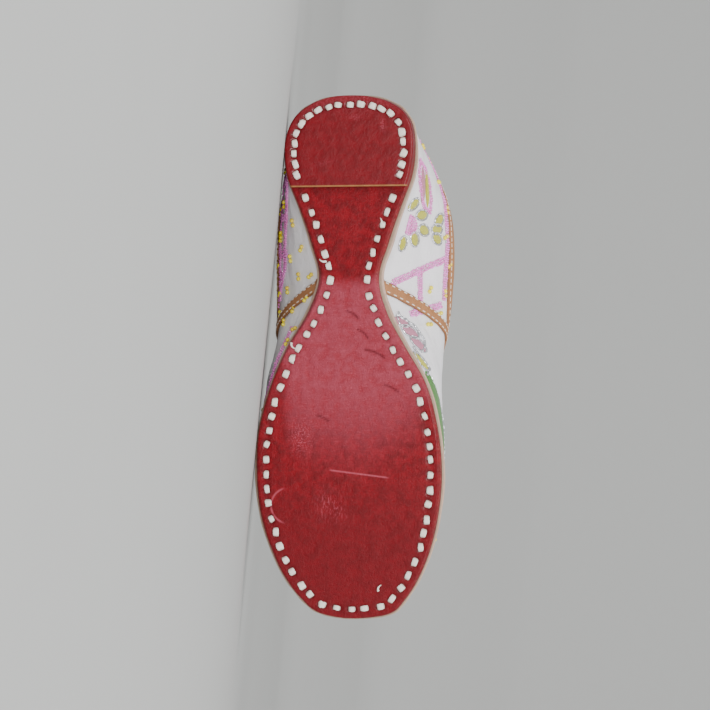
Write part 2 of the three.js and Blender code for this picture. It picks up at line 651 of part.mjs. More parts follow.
// The three corners that carry the shoe when it lies with `down` below: they are found by
// dropping a triangle around the centre until no other corner lies under it.
function supportUnder(down, corners, centre) {
  const sideways = new THREE.Vector3(1, 0, 0).addScaledVector(down, -down.x).normalize();
  const across = down.clone().cross(sideways);
  const flat = (point) => {
    const arm = point.clone().sub(centre);
    return { point, u: arm.dot(sideways), v: arm.dot(across), w: arm.dot(down) };
  };
  const far = 100 * SHOE_LENGTH;
  const deep = -far * far;
  let triangle = [{ u: -far, v: -far, w: deep }, { u: far, v: -far, w: deep }, { u: 0, v: far, w: deep }];
  const cross = (a, b) => a.u * b.v - a.v * b.u;
  const level = ([a, b, c], { u, v }) => {
    const area = cross({ u: b.u - a.u, v: b.v - a.v }, { u: c.u - a.u, v: c.v - a.v });
    const share = (p, q) => cross({ u: p.u - u, v: p.v - v }, { u: q.u - u, v: q.v - v }) / area;
    return a.w * share(b, c) + b.w * share(c, a) + c.w * share(a, b);
  };
  const holdsCentre = ([a, b, c]) => {
    const signs = [cross(a, b), cross(b, c), cross(c, a)];
    return signs.every((value) => value >= 0) || signs.every((value) => value <= 0);
  };
  const places = corners.map(flat);
  for (;;) {
    const current = triangle;
    const under = places.map((place) => place.w - level(current, place));
    const most = under.reduce((best, value, i) => (value > under[best] ? i : best), 0);
    if (under[most] < 1e-6) return triangle.map(({ point }) => point);
    const [a, b, c] = triangle;
    const lowest = places[most];
    triangle = [[lowest, a, b], [lowest, b, c], [lowest, c, a]].find(holdsCentre);
  }
}

// The shoe lies at rest on its outer side: on the edge of the sole and the collar.
function layDown(group) {
  const { corners, centre } = cornersAndCentre(group.children);
  let down = new THREE.Vector3(0, 1, 0);
  for (let i = 0; i < 6; i += 1) {
    const [a, b, c] = supportUnder(down, corners, centre);
    const normal = b.clone().sub(a).cross(c.clone().sub(a)).normalize();
    down = normal.multiplyScalar(Math.sign(normal.dot(down)));
  }
  const up = down.clone().negate();
  const forward = new THREE.Vector3(1, 0, 0).addScaledVector(up, -up.x).normalize();
  const basis = new THREE.Matrix4().makeBasis(forward, up.clone().cross(forward), up);
  group.quaternion.setFromRotationMatrix(basis.transpose());
  group.updateMatrixWorld(true);
  const box = new THREE.Box3().setFromObject(group, true);
  group.position.set(-(box.min.x + box.max.x) / 2, -(box.min.y + box.max.y) / 2, -box.min.z);
}

layDown(shoe);

const part = new THREE.Group();
part.add(shoe);

export default part;
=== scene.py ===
import json
import math

import bmesh
import bpy
import numpy as np
from bpy.props import FloatProperty, FloatVectorProperty, PointerProperty
from mathutils import Matrix, Vector


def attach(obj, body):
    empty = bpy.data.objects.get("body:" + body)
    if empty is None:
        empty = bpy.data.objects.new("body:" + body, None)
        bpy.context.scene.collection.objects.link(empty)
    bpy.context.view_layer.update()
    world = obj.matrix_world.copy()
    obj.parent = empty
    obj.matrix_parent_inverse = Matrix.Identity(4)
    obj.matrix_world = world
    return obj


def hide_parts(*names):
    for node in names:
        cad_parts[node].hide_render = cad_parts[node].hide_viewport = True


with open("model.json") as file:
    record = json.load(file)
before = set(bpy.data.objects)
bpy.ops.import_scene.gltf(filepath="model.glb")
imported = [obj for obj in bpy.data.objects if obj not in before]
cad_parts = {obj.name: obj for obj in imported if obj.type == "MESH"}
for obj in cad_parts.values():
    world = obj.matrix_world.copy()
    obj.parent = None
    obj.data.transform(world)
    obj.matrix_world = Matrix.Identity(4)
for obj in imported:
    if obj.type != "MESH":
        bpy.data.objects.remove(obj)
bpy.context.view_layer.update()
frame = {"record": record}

bl_info = {
    "name": "Mojari slipper",
    "version": (1, 0, 0),
    "blender": (4, 5, 0),
    "location": "View3D > Sidebar > Slipper",
    "description": "Dresses the packed slipper with leather, satin, lace stitches and beadwork",
    "category": "Add Mesh",
}

# Sizes in millimetres, in the shoe's own frame: x from the back of the heel to the toe, y to
# the outer side, z up from the floor that the sole stands on.
MM = 0.001
LENGTH = 250.0
HEEL_WIDTH, WAIST_WIDTH, BALL_WIDTH, COLLAR_WIDTH = 62.5, 27.0, 88.0, 93.0
INSTEP_HEIGHT, COLLAR_HEIGHT = 56.0, 48.0
LIFT_THICKNESS, LIFT_LENGTH, LIFT_TAPER = 4.5, 43.5, 0.5
OUTSOLE, MIDSOLE, INSOLE, GAP, WALL = 2.6, 2.8, 1.8, 0.3, 2.0
TOE_SPRING, EDGE_STEP, EDGE_SPREAD, WELT = 4.5, 0.4, 2.6, 1.5
DOME_POWER, ROLL_POWER = 2.3, 1.6
BINDING, BINDING_DEPTH, BAND_WIDTH = 1.1, 5.0, 5.6
BAND_FOOT, CORNER, THROAT = 91.0, 117.5, 155.0
FLAT_FROM, SPRING_FROM, SPRING_POWER = 0.52, 0.8, 1.8
HEEL_MOUNT_AT = 20.0
LATERAL, MEDIAL = 1.0, -1.0
TOP = math.pi / 2


def in_parts(width, rows):
    """Rows whose lateral and medial half-widths are given in parts of a width."""
    return [(share, lateral * width, medial * width, *rest) for share, lateral, medial, *rest in rows]


# share of the length, lateral half-width, medial half-width
SOLE_OUTLINE = [
    (0, 0, 0),
    *in_parts(HEEL_WIDTH, [(0.003, 0.158, 0.172), (0.018, 0.322, 0.35), (0.049, 0.448, 0.464),
                           (0.096, 0.503, 0.496), (0.157, 0.478, 0.464), (0.219, 0.382, 0.37)]),
    *in_parts(WAIST_WIDTH, [(0.281, 0.676, 0.65), (0.354, 0.517, 0.476), (0.416, 0.715, 0.622)]),
    *in_parts(BALL_WIDTH, [(0.48, 0.33, 0.292), (0.543, 0.412, 0.398), (0.634, 0.489, 0.473),
                           (0.73, 0.503, 0.494), (0.806, 0.478, 0.472), (0.868, 0.424, 0.43),
                           (0.914, 0.366, 0.378), (0.96, 0.274, 0.299), (0.991, 0.162, 0.2)]),
    (1, 0, 0),
]
# share of the length, how far the edge leans out, in parts of EDGE_SPREAD
EDGE_LEAN = [(0, 0.23), (0.12, 0.27), (0.22, 0.62), (0.34, 1), (0.46, 0.77), (0.6, 0.5),
             (0.75, 0.54), (0.9, 0.38), (1, 0.31)]
# share of the length, how far the sole is raised, in parts of the heel lift's thickness
SOLE_RISE = [(0, 1), (0.19, 1), (0.26, 0.9), (0.36, 0.5), (0.46, 0.1), (0.52, 0), (0.8, 0), (1, 0)]
# share of the length, lateral and medial half-width, rolled height in parts of COLLAR_HEIGHT
BODY = [
    (0, 0, 0, 0.3),
    *in_parts(HEEL_WIDTH, [(0.003, 0.155, 0.17, 0.3), (0.018, 0.322, 0.35, 0.3), (0.049, 0.456, 0.468, 0.35)]),
    *in_parts(COLLAR_WIDTH, [(0.08, 0.338, 0.35, 0.43), (0.12, 0.378, 0.403, 0.57), (0.16, 0.412, 0.446, 0.7),
                             (0.2, 0.439, 0.484, 0.8), (0.25, 0.462, 0.515, 0.87), (0.32, 0.475, 0.529, 0.89),
                             (0.39, 0.476, 0.523, 0.87), (0.47, 0.47, 0.503, 0.74)]),
    *in_parts(BALL_WIDTH, [(0.55, 0.517, 0.51, 0.52), (0.64, 0.52, 0.514, 0.37), (0.73, 0.517, 0.511, 0.3),
                           (0.806, 0.492, 0.487, 0.26), (0.868, 0.435, 0.443, 0.24), (0.914, 0.374, 0.387, 0.22),
                           (0.96, 0.278, 0.304, 0.2), (0.991, 0.163, 0.202, 0.2)]),
    (1, 0, 0, 0.2),
]
# share of the length where a rib starts, and where it ends on the crest
SPINE = [(0, 0.18), (0.1, 0.2), (0.2, 0.25), (0.3, 0.315), (0.42, 0.42), (0.62, 0.62), (0.72, 0.706),
         (0.82, 0.77), (0.91, 0.81), (1, 0.83)]
# share of the length, height in parts of INSTEP_HEIGHT
CREST = [(0, 1.8), (0.06, 1.85), (0.16, 2.15), (0.23, 2.25), (0.3, 2.1), (0.4, 1.68), (0.5, 1.29),
         (0.56, 1.12), (0.62, 1), (0.7, 0.86), (0.78, 0.725), (0.86, 0.61), (0.94, 0.53), (1, 0.49)]
# share of the length, height in parts of COLLAR_HEIGHT
COLLAR_LINE = [(0, 1.3), (0.03, 1.27), (0.09, 1.14), (0.18, 1.03), (0.28, 0.99), (0.4, 0.965), (0.52, 0.955)]


def turn_of(share):
    """Places along the shoe run as turns from 0 to 1, close together at the heel and the toe."""
    return np.arccos(1 - 2 * np.clip(share, 0, 1)) / math.pi


def share_of(turn):
    """The share of the length at a turn."""
    return (1 - np.cos(math.pi * np.asarray(turn, float))) / 2


class Column:
    """A smooth curve through one column of a table, as a function of the turn."""

    def __init__(self, rows, column=1, scale=1.0):
        self.turns = turn_of(np.array([row[0] for row in rows], float))
        self.values = np.array([row[column] for row in rows], float) * scale
        span = np.diff(self.turns)
        secant = np.diff(self.values) / span
        inner = (secant[:-1] * span[1:] + secant[1:] * span[:-1]) / (span[:-1] + span[1:])
        self.slopes = np.concatenate([secant[:1], inner, secant[-1:]])

    def __call__(self, turn):
        t = np.clip(turn, self.turns[0], self.turns[-1])
        i = np.clip(np.searchsorted(self.turns, t, side="right") - 1, 0, len(self.turns) - 2)
        span = self.turns[i + 1] - self.turns[i]
        s = (t - self.turns[i]) / span
        stay = (1 + 2 * s) * (1 - s) ** 2 * self.values[i] + s * s * (3 - 2 * s) * self.values[i + 1]
        return stay + span * s * (1 - s) * ((1 - s) * self.slopes[i] - s * self.slopes[i + 1])


SOLE_HALF = (Column(SOLE_OUTLINE, 1), Column(SOLE_OUTLINE, 2))
BODY_HALF = (Column(BODY, 1), Column(BODY, 2))
ROLL_HEIGHT = Column(BODY, 3, COLLAR_HEIGHT)
LEAN = Column(EDGE_LEAN, 1, EDGE_SPREAD)
SPINE_SHARE = Column(SPINE)
CREST_HEIGHT = Column(CREST, 1, INSTEP_HEIGHT)
COLLAR_EDGE = Column(COLLAR_LINE, 1, COLLAR_HEIGHT)
RISE = Column(SOLE_RISE)


def half_of(pair, side, turn):
    """The half-width on a side, from a pair of columns."""
    return np.where(side > 0, pair[0](turn), pair[1](turn))


def sole_bottom(share):
    """Height of the red sole's face: raised over the heel lift, flat at the ball, sprung at the toe."""
    share = np.asarray(share, float)
    spring = TOE_SPRING * (np.clip(share - SPRING_FROM, 0, 1) / (1 - SPRING_FROM)) ** SPRING_POWER
    seat = (LIFT_THICKNESS + GAP) * np.clip(RISE(turn_of(share)), 0, 1)
    return np.where(share > SPRING_FROM, spring, np.where(share >= FLAT_FROM, 0, seat))


def sole_top(share):
    """Height of the undyed layer's upper face."""
    return sole_bottom(share) + OUTSOLE + GAP + MIDSOLE


def outline(side, turn, out):
    """x and y of an outline around the sole that lies `out` outside the red face's outline."""
    half = half_of(SOLE_HALF, side, turn)
    blunt = np.minimum(1, half / (0.25 * HEEL_WIDTH))
    return share_of(turn) * (LENGTH + 2 * out) - out, side * (half + out * blunt)


def last_point(side, turn, angle):
    """A point of the upper's outer surface. A rib starts at the sole and ends on the crest."""
    side, turn, angle = np.broadcast_arrays(np.asarray(side, float), turn, angle)
    side = np.where((turn < 0) ^ (turn > 1) ^ (angle > TOP), -side, side)
    turn = np.where(turn < 0, -turn, np.where(turn > 1, 2 - turn, turn))
    angle = np.where(angle > TOP, math.pi - angle, angle)
    foot_x, foot_y = outline(side, turn, LEAN(turn) + EDGE_STEP - WELT)
    wide_x = np.clip(foot_x, 0, LENGTH)
    wide_y = side * np.maximum(half_of(BODY_HALF, side, turn), np.abs(foot_y))
    spine_x = SPINE_SHARE(turn) * LENGTH
    inward = np.clip(np.cos(angle), 0, 1) ** (2 / DOME_POWER)
    upward = np.clip(np.sin(angle), 0, 1) ** (2 / DOME_POWER)
    x = spine_x + (wide_x - spine_x) * inward
    floor = sole_top(share_of(turn)) + GAP
    z = floor + (CREST_HEIGHT(turn_of(x / LENGTH)) - floor) * upward
    rolled = (1 - np.clip((z - floor) / ROLL_HEIGHT(turn), 0, 1)) ** ROLL_POWER
    return np.stack([x + (foot_x - wide_x) * rolled, wide_y * inward + (foot_y - wide_y) * rolled, z], -1)


def unit(vectors):
    return vectors / np.maximum(np.linalg.norm(vectors, axis=-1, keepdims=True), 1e-12)


def wall_axes(side, turn, angle):
    """Along the shoe, up the wall and outward, at places on the upper's outer surface."""
    step = 1e-3
    along = last_point(side, turn + step, angle) - last_point(side, turn - step, angle)
    up = last_point(side, turn, angle + step) - last_point(side, turn, np.maximum(angle - step, 0))
    normal = unit(np.cross(along, up) * -np.asarray(side, float)[..., None])
    return unit(along), unit(up), normal


def wall_point(side, turn, angle, out):
    """A point `out` from the upper's outer surface, which is level with it at the wall's foot."""
    side, turn, angle, out = np.broadcast_arrays(np.asarray(side, float), turn, angle, out)
    normal = wall_axes(side, turn, angle)[2].copy()
    level = np.maximum(np.hypot(normal[..., 0], normal[..., 1]), 0.2)
    foot = angle == 0
    flat = np.stack([normal[..., 0] / level ** 2, normal[..., 1] / level ** 2, 0 * level], -1)
    normal = np.where(foot[..., None], flat, normal)
    return last_point(side, turn, angle) + normal * out[..., None]


def angle_at(side, turn, height):
    """The angle at which a rib reaches a height."""
    side, turn, height = np.broadcast_arrays(np.asarray(side, float), turn, height)
    low, high = np.zeros(turn.shape), np.full(turn.shape, TOP)
    for _ in range(34):
        middle = (low + high) / 2
        under = last_point(side, turn, middle)[..., 2] < height
        low, high = np.where(under, middle, low), np.where(under, high, middle)
    return (low + high) / 2


CORNER_TURN = float(turn_of(CORNER / LENGTH))
TIP_TURN = float(turn_of(THROAT / LENGTH))
CORNER_HEIGHT = float(COLLAR_EDGE(CORNER_TURN))


def edge_at(side, stretch, drop):
    """Turn and angle of a line `drop` below the opening's edge: 0 to 1 quarter, 1 to 2 throat."""
    side, stretch, drop = np.broadcast_arrays(np.asarray(side, float), stretch, drop)
    quarter_turn = CORNER_TURN * np.clip(stretch, 0, 1)
    quarter = angle_at(side, quarter_turn, COLLAR_EDGE(quarter_turn) - drop)
    s = np.clip(stretch - 1, 0, 1)
    tip_turn = turn_of((THROAT + drop) / LENGTH)
    run = 1 - (1 - s) ** 2
    turn = CORNER_TURN + (tip_turn - CORNER_TURN) * run
    tip_height = last_point(side, tip_turn, np.full(turn.shape, TOP))[..., 2]
    throat = angle_at(side, turn, CORNER_HEIGHT - drop + (tip_height - CORNER_HEIGHT + drop) * run)
    throat = np.where(s >= 1, TOP, throat)
    return np.where(stretch <= 1, quarter_turn, turn), np.where(stretch <= 1, quarter, throat)


WALL_TURNS = np.linspace(0, 1, 1600)


def wall_ends(side):
    """The angle at which the wall ends, at each of WALL_TURNS."""
    share = np.clip((WALL_TURNS - CORNER_TURN) / (TIP_TURN - CORNER_TURN), 0, 1)
    stretch = np.where(WALL_TURNS <= CORNER_TURN, WALL_TURNS / CORNER_TURN, 2 - np.sqrt(1 - share))
    ends = edge_at(np.full(WALL_TURNS.shape, side), stretch, 0.0)[1]
    return np.where(WALL_TURNS >= TIP_TURN, TOP, ends)


WALL_ENDS = (wall_ends(LATERAL), wall_ends(MEDIAL))


def top_angle(side, turn):
    """The angle at which the wall ends on the rib at a turn."""
    side, turn = np.broadcast_arrays(np.asarray(side, float), turn)
    lateral, medial = (np.interp(turn, WALL_TURNS, ends) for ends in WALL_ENDS)
    return np.where(side > 0, lateral, medial)


# The shoe's own frame, from the two mounts on its tread
MOUNTS = {mount["name"]: mount for mount in frame["record"]["mounts"]}
HEEL_AT = np.array(MOUNTS["heel_tread"]["pos_m"], float)
SHOE_UP = unit(-np.array(MOUNTS["heel_tread"]["axis"], float))
SHOE_ALONG = np.array(MOUNTS["forefoot_tread"]["pos_m"], float) - HEEL_AT
SHOE_ALONG = unit(SHOE_ALONG - SHOE_UP * SHOE_ALONG.dot(SHOE_UP))
SHOE_OUT = np.cross(SHOE_UP, SHOE_ALONG)
SHOE_AXES = np.stack([SHOE_ALONG, SHOE_OUT, SHOE_UP])
SHOE_ORIGIN = HEEL_AT - SHOE_ALONG * HEEL_MOUNT_AT * MM

# Corners nearer than this count as one, in millimetres
WELD = 2e-4


def weld(points, quads):
    """Joins corners that coincide and drops faces that lose their area. Gives the faces, the point
    that stands for each corner, and the corner of each point."""
    _, first, corner_of = np.unique(np.round(points / WELD).astype(np.int64), axis=0,
                                    return_index=True, return_inverse=True)
    corner_of = corner_of.ravel()
    quads = corner_of[quads]
    same = quads == np.roll(quads, -1, axis=1)
    plain = ~same.any(axis=1)
    faces = quads[plain].tolist()
    for quad, twin in zip(quads[~plain], same[~plain]):
        corners = quad[~twin]
        if len(set(corners.tolist())) >= 3:
            faces.append(corners.tolist())
    return faces, first, corner_of


def make_piece(name, points, faces, finishes, values=None, sharp=None, parts=None):
    """One object from points in the shoe's millimetres. It rides on the shoe and keeps, at each
    corner, its place in the shoe and its values for the materials. parts names each face's finish."""
    mesh = bpy.data.meshes.new(name)
    points = np.asarray(points, float)
    mesh.from_pydata((SHOE_ORIGIN + MM * points @ SHOE_AXES).tolist(), [], faces)
    place = mesh.attributes.new("shoe", "FLOAT_VECTOR", "POINT")
    place.data.foreach_set("vector", points.astype(np.float32).ravel())
    for key, data in (values or {}).items():
        kind, field = ("FLOAT_VECTOR", "vector") if np.ndim(data) == 2 else ("FLOAT", "value")
        layer = mesh.attributes.new(key, kind, "POINT")
        layer.data.foreach_set(field, np.asarray(data, np.float32).ravel())
    for finish in finishes:
        mesh.materials.append(finish)
    if parts is not None:
        mesh.polygons.foreach_set("material_index", np.asarray(parts, np.int32))
    work = bmesh.new()
    work.from_mesh(mesh)
    bmesh.ops.recalc_face_normals(work, faces=work.faces)
    work.to_mesh(mesh)
    work.free()
    mesh.polygons.foreach_set("use_smooth", np.ones(len(mesh.polygons), bool))
    if sharp:
        mesh.set_sharp_from_angle(angle=math.radians(sharp))
    mesh.update()
    piece = bpy.data.objects.new(name, mesh)
    bpy.context.scene.collection.objects.link(piece)
    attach(piece, "root")
    return piece


def grid_quads(rows, columns, wrap=False):
    """Faces of a grid of points, row by row. With wrap, each row is a closed loop."""
    across = columns if wrap else columns - 1
    i, j = np.meshgrid(np.arange(rows - 1), np.arange(across), indexing="ij")
    k = (j + 1) % columns
    return np.stack([i * columns + j, i * columns + k, (i + 1) * columns + k, (i + 1) * columns + j],
                    -1).reshape(-1, 4)


def tube_faces(rows, columns):
    """Faces of a closed body through rings of points, with a cap at each end."""
    count = rows * columns
    return [*grid_quads(rows, columns, wrap=True).tolist(),
            list(range(columns)), list(range(count - columns, count))]


def loft(name, loops, finish, values=None, sharp=None, caps=(False, False)):
    """A closed body through a row of closed loops of points."""
    rows, columns = loops.shape[:2]
    points = loops.reshape(-1, 3)
    quads = grid_quads(rows, columns, wrap=True)
    values = {key: np.asarray(data) for key, data in (values or {}).items()}
    for end, wanted in zip((0, rows - 1), caps):
        if wanted:
            middle = len(points)
            points = np.vstack([points, loops[end].mean(0)])
            values = {key: np.append(data, data[end * columns]) for key, data in values.items()}
            rim = end * columns + np.arange(columns)
            fan = np.stack([rim, np.roll(rim, -1), np.full(columns, middle), np.full(columns, middle)], -1)
            quads = np.vstack([quads, fan])
    faces, first, _ = weld(points, quads)
    values = {key: data[first] for key, data in values.items()}
    return make_piece(name, points[first], faces, [finish], values, sharp)


# ---------------------------------------------------------------- materials

class Term:
    """A value in a material. Sums and products of terms add their own nodes."""

    def __init__(self, finish, socket):
        self.finish = finish
        self.socket = socket

    def _of(self, operation, *values):
        node = self.finish.node("ShaderNodeMath", {"operation": operation}, *values)
        return Term(self.finish, node.outputs[0])

    def __add__(self, other):
        return self._of("ADD", self, other)

    __radd__ = __add__

    def __mul__(self, other):
        return self._of("MULTIPLY", self, other)

    __rmul__ = __mul__

    def __sub__(self, other):
        return self._of("SUBTRACT", self, other)

    def __rsub__(self, other):
        return self._of("SUBTRACT", other, self)

    def __pow__(self, other):
        return self._of("POWER", self, other)

    def __abs__(self):
        return self._of("ABSOLUTE", self)

    def low(self, other):
        return self._of("MINIMUM", self, other)

    def sine(self):
        return self._of("SINE", self)

    def between(self, start, end):
        """0 before start and 1 after end, with a soft step between them."""
        node = self.finish.node("ShaderNodeMapRange", {"interpolation_type": "SMOOTHSTEP"},
                                Value=self, **{"From Min": start, "From Max": end})
        return Term(self.finish, node.outputs[0])

    def near(self, place, reach):
        """1 at a place, falling softly to 0 at its reach."""
        return 1 - abs(self - place).between(0, reach)


class Finish:
    """A material with its principled shader."""

    def __init__(self, name):
        self.material = bpy.data.materials.new(name)
        self.material.use_nodes = True
        self.tree = self.material.node_tree
        self.shader = self.tree.nodes["Principled BSDF"]
        self.relief = None

    def node(self, kind, settings=None, *values, **named):
        node = self.tree.nodes.new(kind)
        for key, value in (settings or {}).items():
            setattr(node, key, value)
        for key, value in [*enumerate(values), *named.items()]:
            self.feed(node.inputs[key], value)
        return node

    def feed(self, socket, value):
        if isinstance(value, Term):
            self.tree.links.new(value.socket, socket)
        elif hasattr(value, "is_output"):
            self.tree.links.new(value, socket)
        else:
            socket.default_value = value

    def place(self, name="shoe"):
        return self.node("ShaderNodeAttribute", {"attribute_name": name}).outputs["Vector"]

    def value(self, name):
        return Term(self, self.node("ShaderNodeAttribute", {"attribute_name": name}).outputs["Fac"])

    def split(self, vector):
        node = self.node("ShaderNodeSeparateXYZ", None, vector)
        return [Term(self, output) for output in node.outputs]

    def stretch(self, vector, scale):
        return self.node("ShaderNodeVectorMath", {"operation": "MULTIPLY"}, vector, scale).outputs[0]

    def noise(self, vector, per_mm, detail=3.0, rough=0.55, warp=0.0):
        node = self.node("ShaderNodeTexNoise", None, Vector=vector, Scale=per_mm, Detail=detail,
                         Roughness=rough, Distortion=warp)
        return Term(self, node.outputs["Fac"])

    def cells(self, vector, per_mm, feature="F1"):
        node = self.node("ShaderNodeTexVoronoi", {"feature": feature}, Vector=vector, Scale=per_mm)
        return Term(self, node.outputs["Distance"])

    def mix(self, share, first, second):
        node = self.node("ShaderNodeMix", {"data_type": "RGBA"}, share)
        self.feed(node.inputs[6], first)
        self.feed(node.inputs[7], second)
        return node.outputs[2]

    def bump(self, height, strength, distance_mm):
        node = self.node("ShaderNodeBump", None, Strength=strength, Distance=distance_mm * MM, Height=height)
        if self.relief is not None:
            self.feed(node.inputs["Normal"], self.relief)
        self.relief = node.outputs[0]

    def finish(self, colour, roughness, **others):
        self.feed(self.shader.inputs["Base Color"], colour)
        self.feed(self.shader.inputs["Roughness"], roughness)
        self.feed(self.shader.inputs["Normal"], self.relief)
        for key, value in others.items():
            self.feed(self.shader.inputs[key.replace("_", " ")], value)
        return self.material


def tint(colour, factor=1.0):
    """A colour made darker or lighter, for a colour socket."""
    return (*[min(1.0, channel * factor) for channel in colour[:3]], 1.0)


def red_leather(colours):
    """Dyed sole leather: polished at heel and toe, rubbed dull and pink from waist to ball."""
    f = Finish("red_sole_leather_worn")
    place = f.place()
    x, y, _ = f.split(place)
    pucker, crease, edge = f.value("pucker"), f.value("crease"), f.value("edge")
    broad = f.noise(place, 0.05, 4, 0.6)
    cloud = f.noise(place, 0.22, 5, 0.62)
    fine = f.noise(place, 1.3, 4, 0.65)
    fibres = f.noise(f.stretch(place, (0.5, 1.6, 1)), 0.9, 4, 0.6, 0.8)
    strands = f.noise(f.stretch(place, (1.8, 0.35, 1)), 0.8, 5, 0.65, 1.2)
    # the rubbed area: a curved border at the waist, a long fade across the ball, and a strip on
    # each side that kept its dye
    waist, ball, bow = (86, 92), (138, 188), 0.012
    border = x + y * y * bow + (broad - 0.5) * 9
    rubbed = border.between(*waist) * (1 - (border + (cloud - 0.5) * 26).between(*ball))
    outer_strip = x.between(122, 132) * y.between(27, 33)
    inner_strip = x.between(142, 150) * (0 - y).between(31, 37)
    rubbed = rubbed * (1 - outer_strip * 0.85) * (1 - inner_strip * 0.85)
    patchy = rubbed * (0.42 + cloud.between(0.3, 0.72) * 0.58)
    speckle = fine.between(0.55, 0.74) * rubbed
    crumbs = 1 - f.cells(place, 0.55).between(0.1, 0.24)
    speckle_patch = x.near(163, 13) * y.near(23, 9) * fine.between(0.5, 0.6)
    # rubbed marks on the polished areas: smears at the heel and toe, a scratch and a hooked one
    heel_smear = x.near(15, 4.5) * y.near(-16.4, 2.4) + x.near(11, 2.5) * y.near(-3, 5) * 0.8
    toe_rub = (x + y * 0.3).near(199, 13) * y.near(9, 12) * fibres.between(0.5, 0.64)
    scratch = (y * 0.121 + x - 179.9).near(0, 0.7) * y.between(-20, -17) * (1 - y.between(8, 10))
    from_hook = ((x - 196) * (x - 196) + (y - 29) * (y - 29)) ** 0.5
    hook = from_hook.near(8.5, 0.8) * y.between(30, 34)
    heel_wear = (1 - x.between(3, 14)) * cloud.between(0.4, 0.66)
    heel_area = 1 - x.between(40, 46)
    toe_area = x.between(168, 215)
    base = f.mix(cloud.between(0.32, 0.68), tint(colours.sole, 1.22), tint(colours.sole, 0.68))
    base = f.mix(strands.between(0.5, 0.7) * 0.4, base, tint(colours.sole, 0.55))
    base = f.mix(strands.between(0.52, 0.3) * rubbed * 0.5, base, tint(colours.scuff, 1.2))
    base = f.mix((heel_area * 0.75 + toe_area * 0.6).low(1.0), base, tint(colours.sole, 0.72))
    base = f.mix(patchy * 0.85, base, tint(colours.scuff))
    base = f.mix(speckle * 0.5 + rubbed * crumbs * 0.2, base, tint(colours.scuff, 1.5))
    base = f.mix((speckle_patch * 0.7 + toe_rub * 0.5 + heel_smear * fine.between(0.4, 0.6) * 0.6
                  + scratch * 0.75 + hook * 0.7 + heel_wear * 0.3).low(1.0), base, tint(colours.scuff, 1.3))
    # painted shade: darker in the narrow creases and around the stitch holes; the fibre term is real darkening
    # along the grain
    painted_shade_and_grain = (pucker * 0.75 + crease * 0.7 + (1 - fibres.between(0.2, 0.42)) * 0.18).low(1.0)
    base = f.mix(painted_shade_and_grain, base, tint(colours.sole, 0.26))
    base = f.mix(edge * fine.between(0.45, 0.75) * 0.25, base, tint(colours.bare_edge, 0.8))
    rough = 0.3 + patchy * 0.34 + cloud * 0.14 + fine * 0.08 + crease * 0.1
    f.bump(cloud, 0.8, 0.9)
    f.bump(strands, 0.7, 0.5)
    f.bump(fibres, 0.6, 0.4)
    f.bump(fine, 0.6, 0.35)
    f.bump(f.cells(place, 1.3), 0.4, 0.3)
    f.shader.inputs["Coat Roughness"].default_value = 0.22
    f.shader.inputs["Specular IOR Level"].default_value = 0.2
    return f.finish(base, rough, Coat_Weight=(1 - patchy) * 0.12 * (1 - painted_shade_and_grain * 0.6))


def lift_leather(colours):
    """The heel lift: polished red face and a cut, undyed breast."""
    f = Finish("heel_lift_leather")
    place = f.place()
    x, y, _ = f.split(place)
    pucker = f.value("pucker")
    cloud = f.noise(place, 0.2, 5, 0.6)
    fine = f.noise(place, 1.2, 4, 0.65)
    layers = f.noise(f.stretch(place, (0.3, 0.3, 3.0)), 0.9, 3, 0.5)
    cut = x.between(LIFT_LENGTH - 0.5, LIFT_LENGTH - 0.2)
    base = f.mix(cloud.between(0.3, 0.72) * 0.6, tint(colours.sole, 0.9), tint(colours.sole, 0.5))
    smear = x.near(15, 5) * y.near(-16.4, 2.2) + x.near(11, 2.2) * y.near(-3, 5) * 0.7 \
        + (1 - x.between(2, 12)) * 0.5 + (x - y * 0.2).near(30, 2) * y.near(12, 9) * 0.35
    base = f.mix((smear * fine.between(0.42, 0.66)).low(1.0) * 0.6, base, tint(colours.scuff, 1.25))
    # painted shade around the stitch holes of the heel lift
    base = f.mix((pucker * 0.8).low(1.0), base, tint(colours.sole, 0.24))
    base = f.mix(cut, base, f.mix(layers, tint(colours.tan, 1.15), tint(colours.tan, 0.6)))
    f.bump(cloud, 0.8, 0.8)
    f.bump(fine, 0.6, 0.32)
    f.bump(layers, 0.5, 0.3)
    f.shader.inputs["Coat Roughness"].default_value = 0.16
    f.shader.inputs["Specular IOR Level"].default_value = 0.2
    return f.finish(base, 0.27 + cloud * 0.14 + fine * 0.1 + cut * 0.3,
                    Coat_Weight=(1 - cut) * 0.2 * (1 - pucker.low(1.0) * 0.7))


def edge_leather(colours):
    """The undyed layer's cut edge: pale fibres, a darker lower line and dirty patches."""
    f = Finish("natural_edge_leather")
    place = f.place()
    rise = f.value("rise")
    cloud = f.noise(place, 0.16, 4, 0.6)
    strands = f.noise(f.stretch(place, (0.5, 0.5, 4.5)), 1.1, 4, 0.62, 0.5)
    fine = f.noise(place, 2.2, 3, 0.6)
    base = f.mix(strands.between(0.3, 0.7), tint(colours.bare_edge, 0.8), tint(colours.bare_edge, 1.12))
    base = f.mix(cloud.between(0.5, 0.75) * 0.5, base, tint(colours.bare_edge, 0.62))
    line = (1 - rise.between(0.0, 0.3)) + rise.between(0.93, 1.0)
    base = f.mix((line * (0.45 + fine * 0.5)).low(1.0) * 0.85, base, (0.16, 0.12, 0.07, 1))
    f.bump(strands, 0.6, 0.4)
    f.bump(fine, 0.3, 0.2)
    return f.finish(base, 0.62 + strands * 0.2)


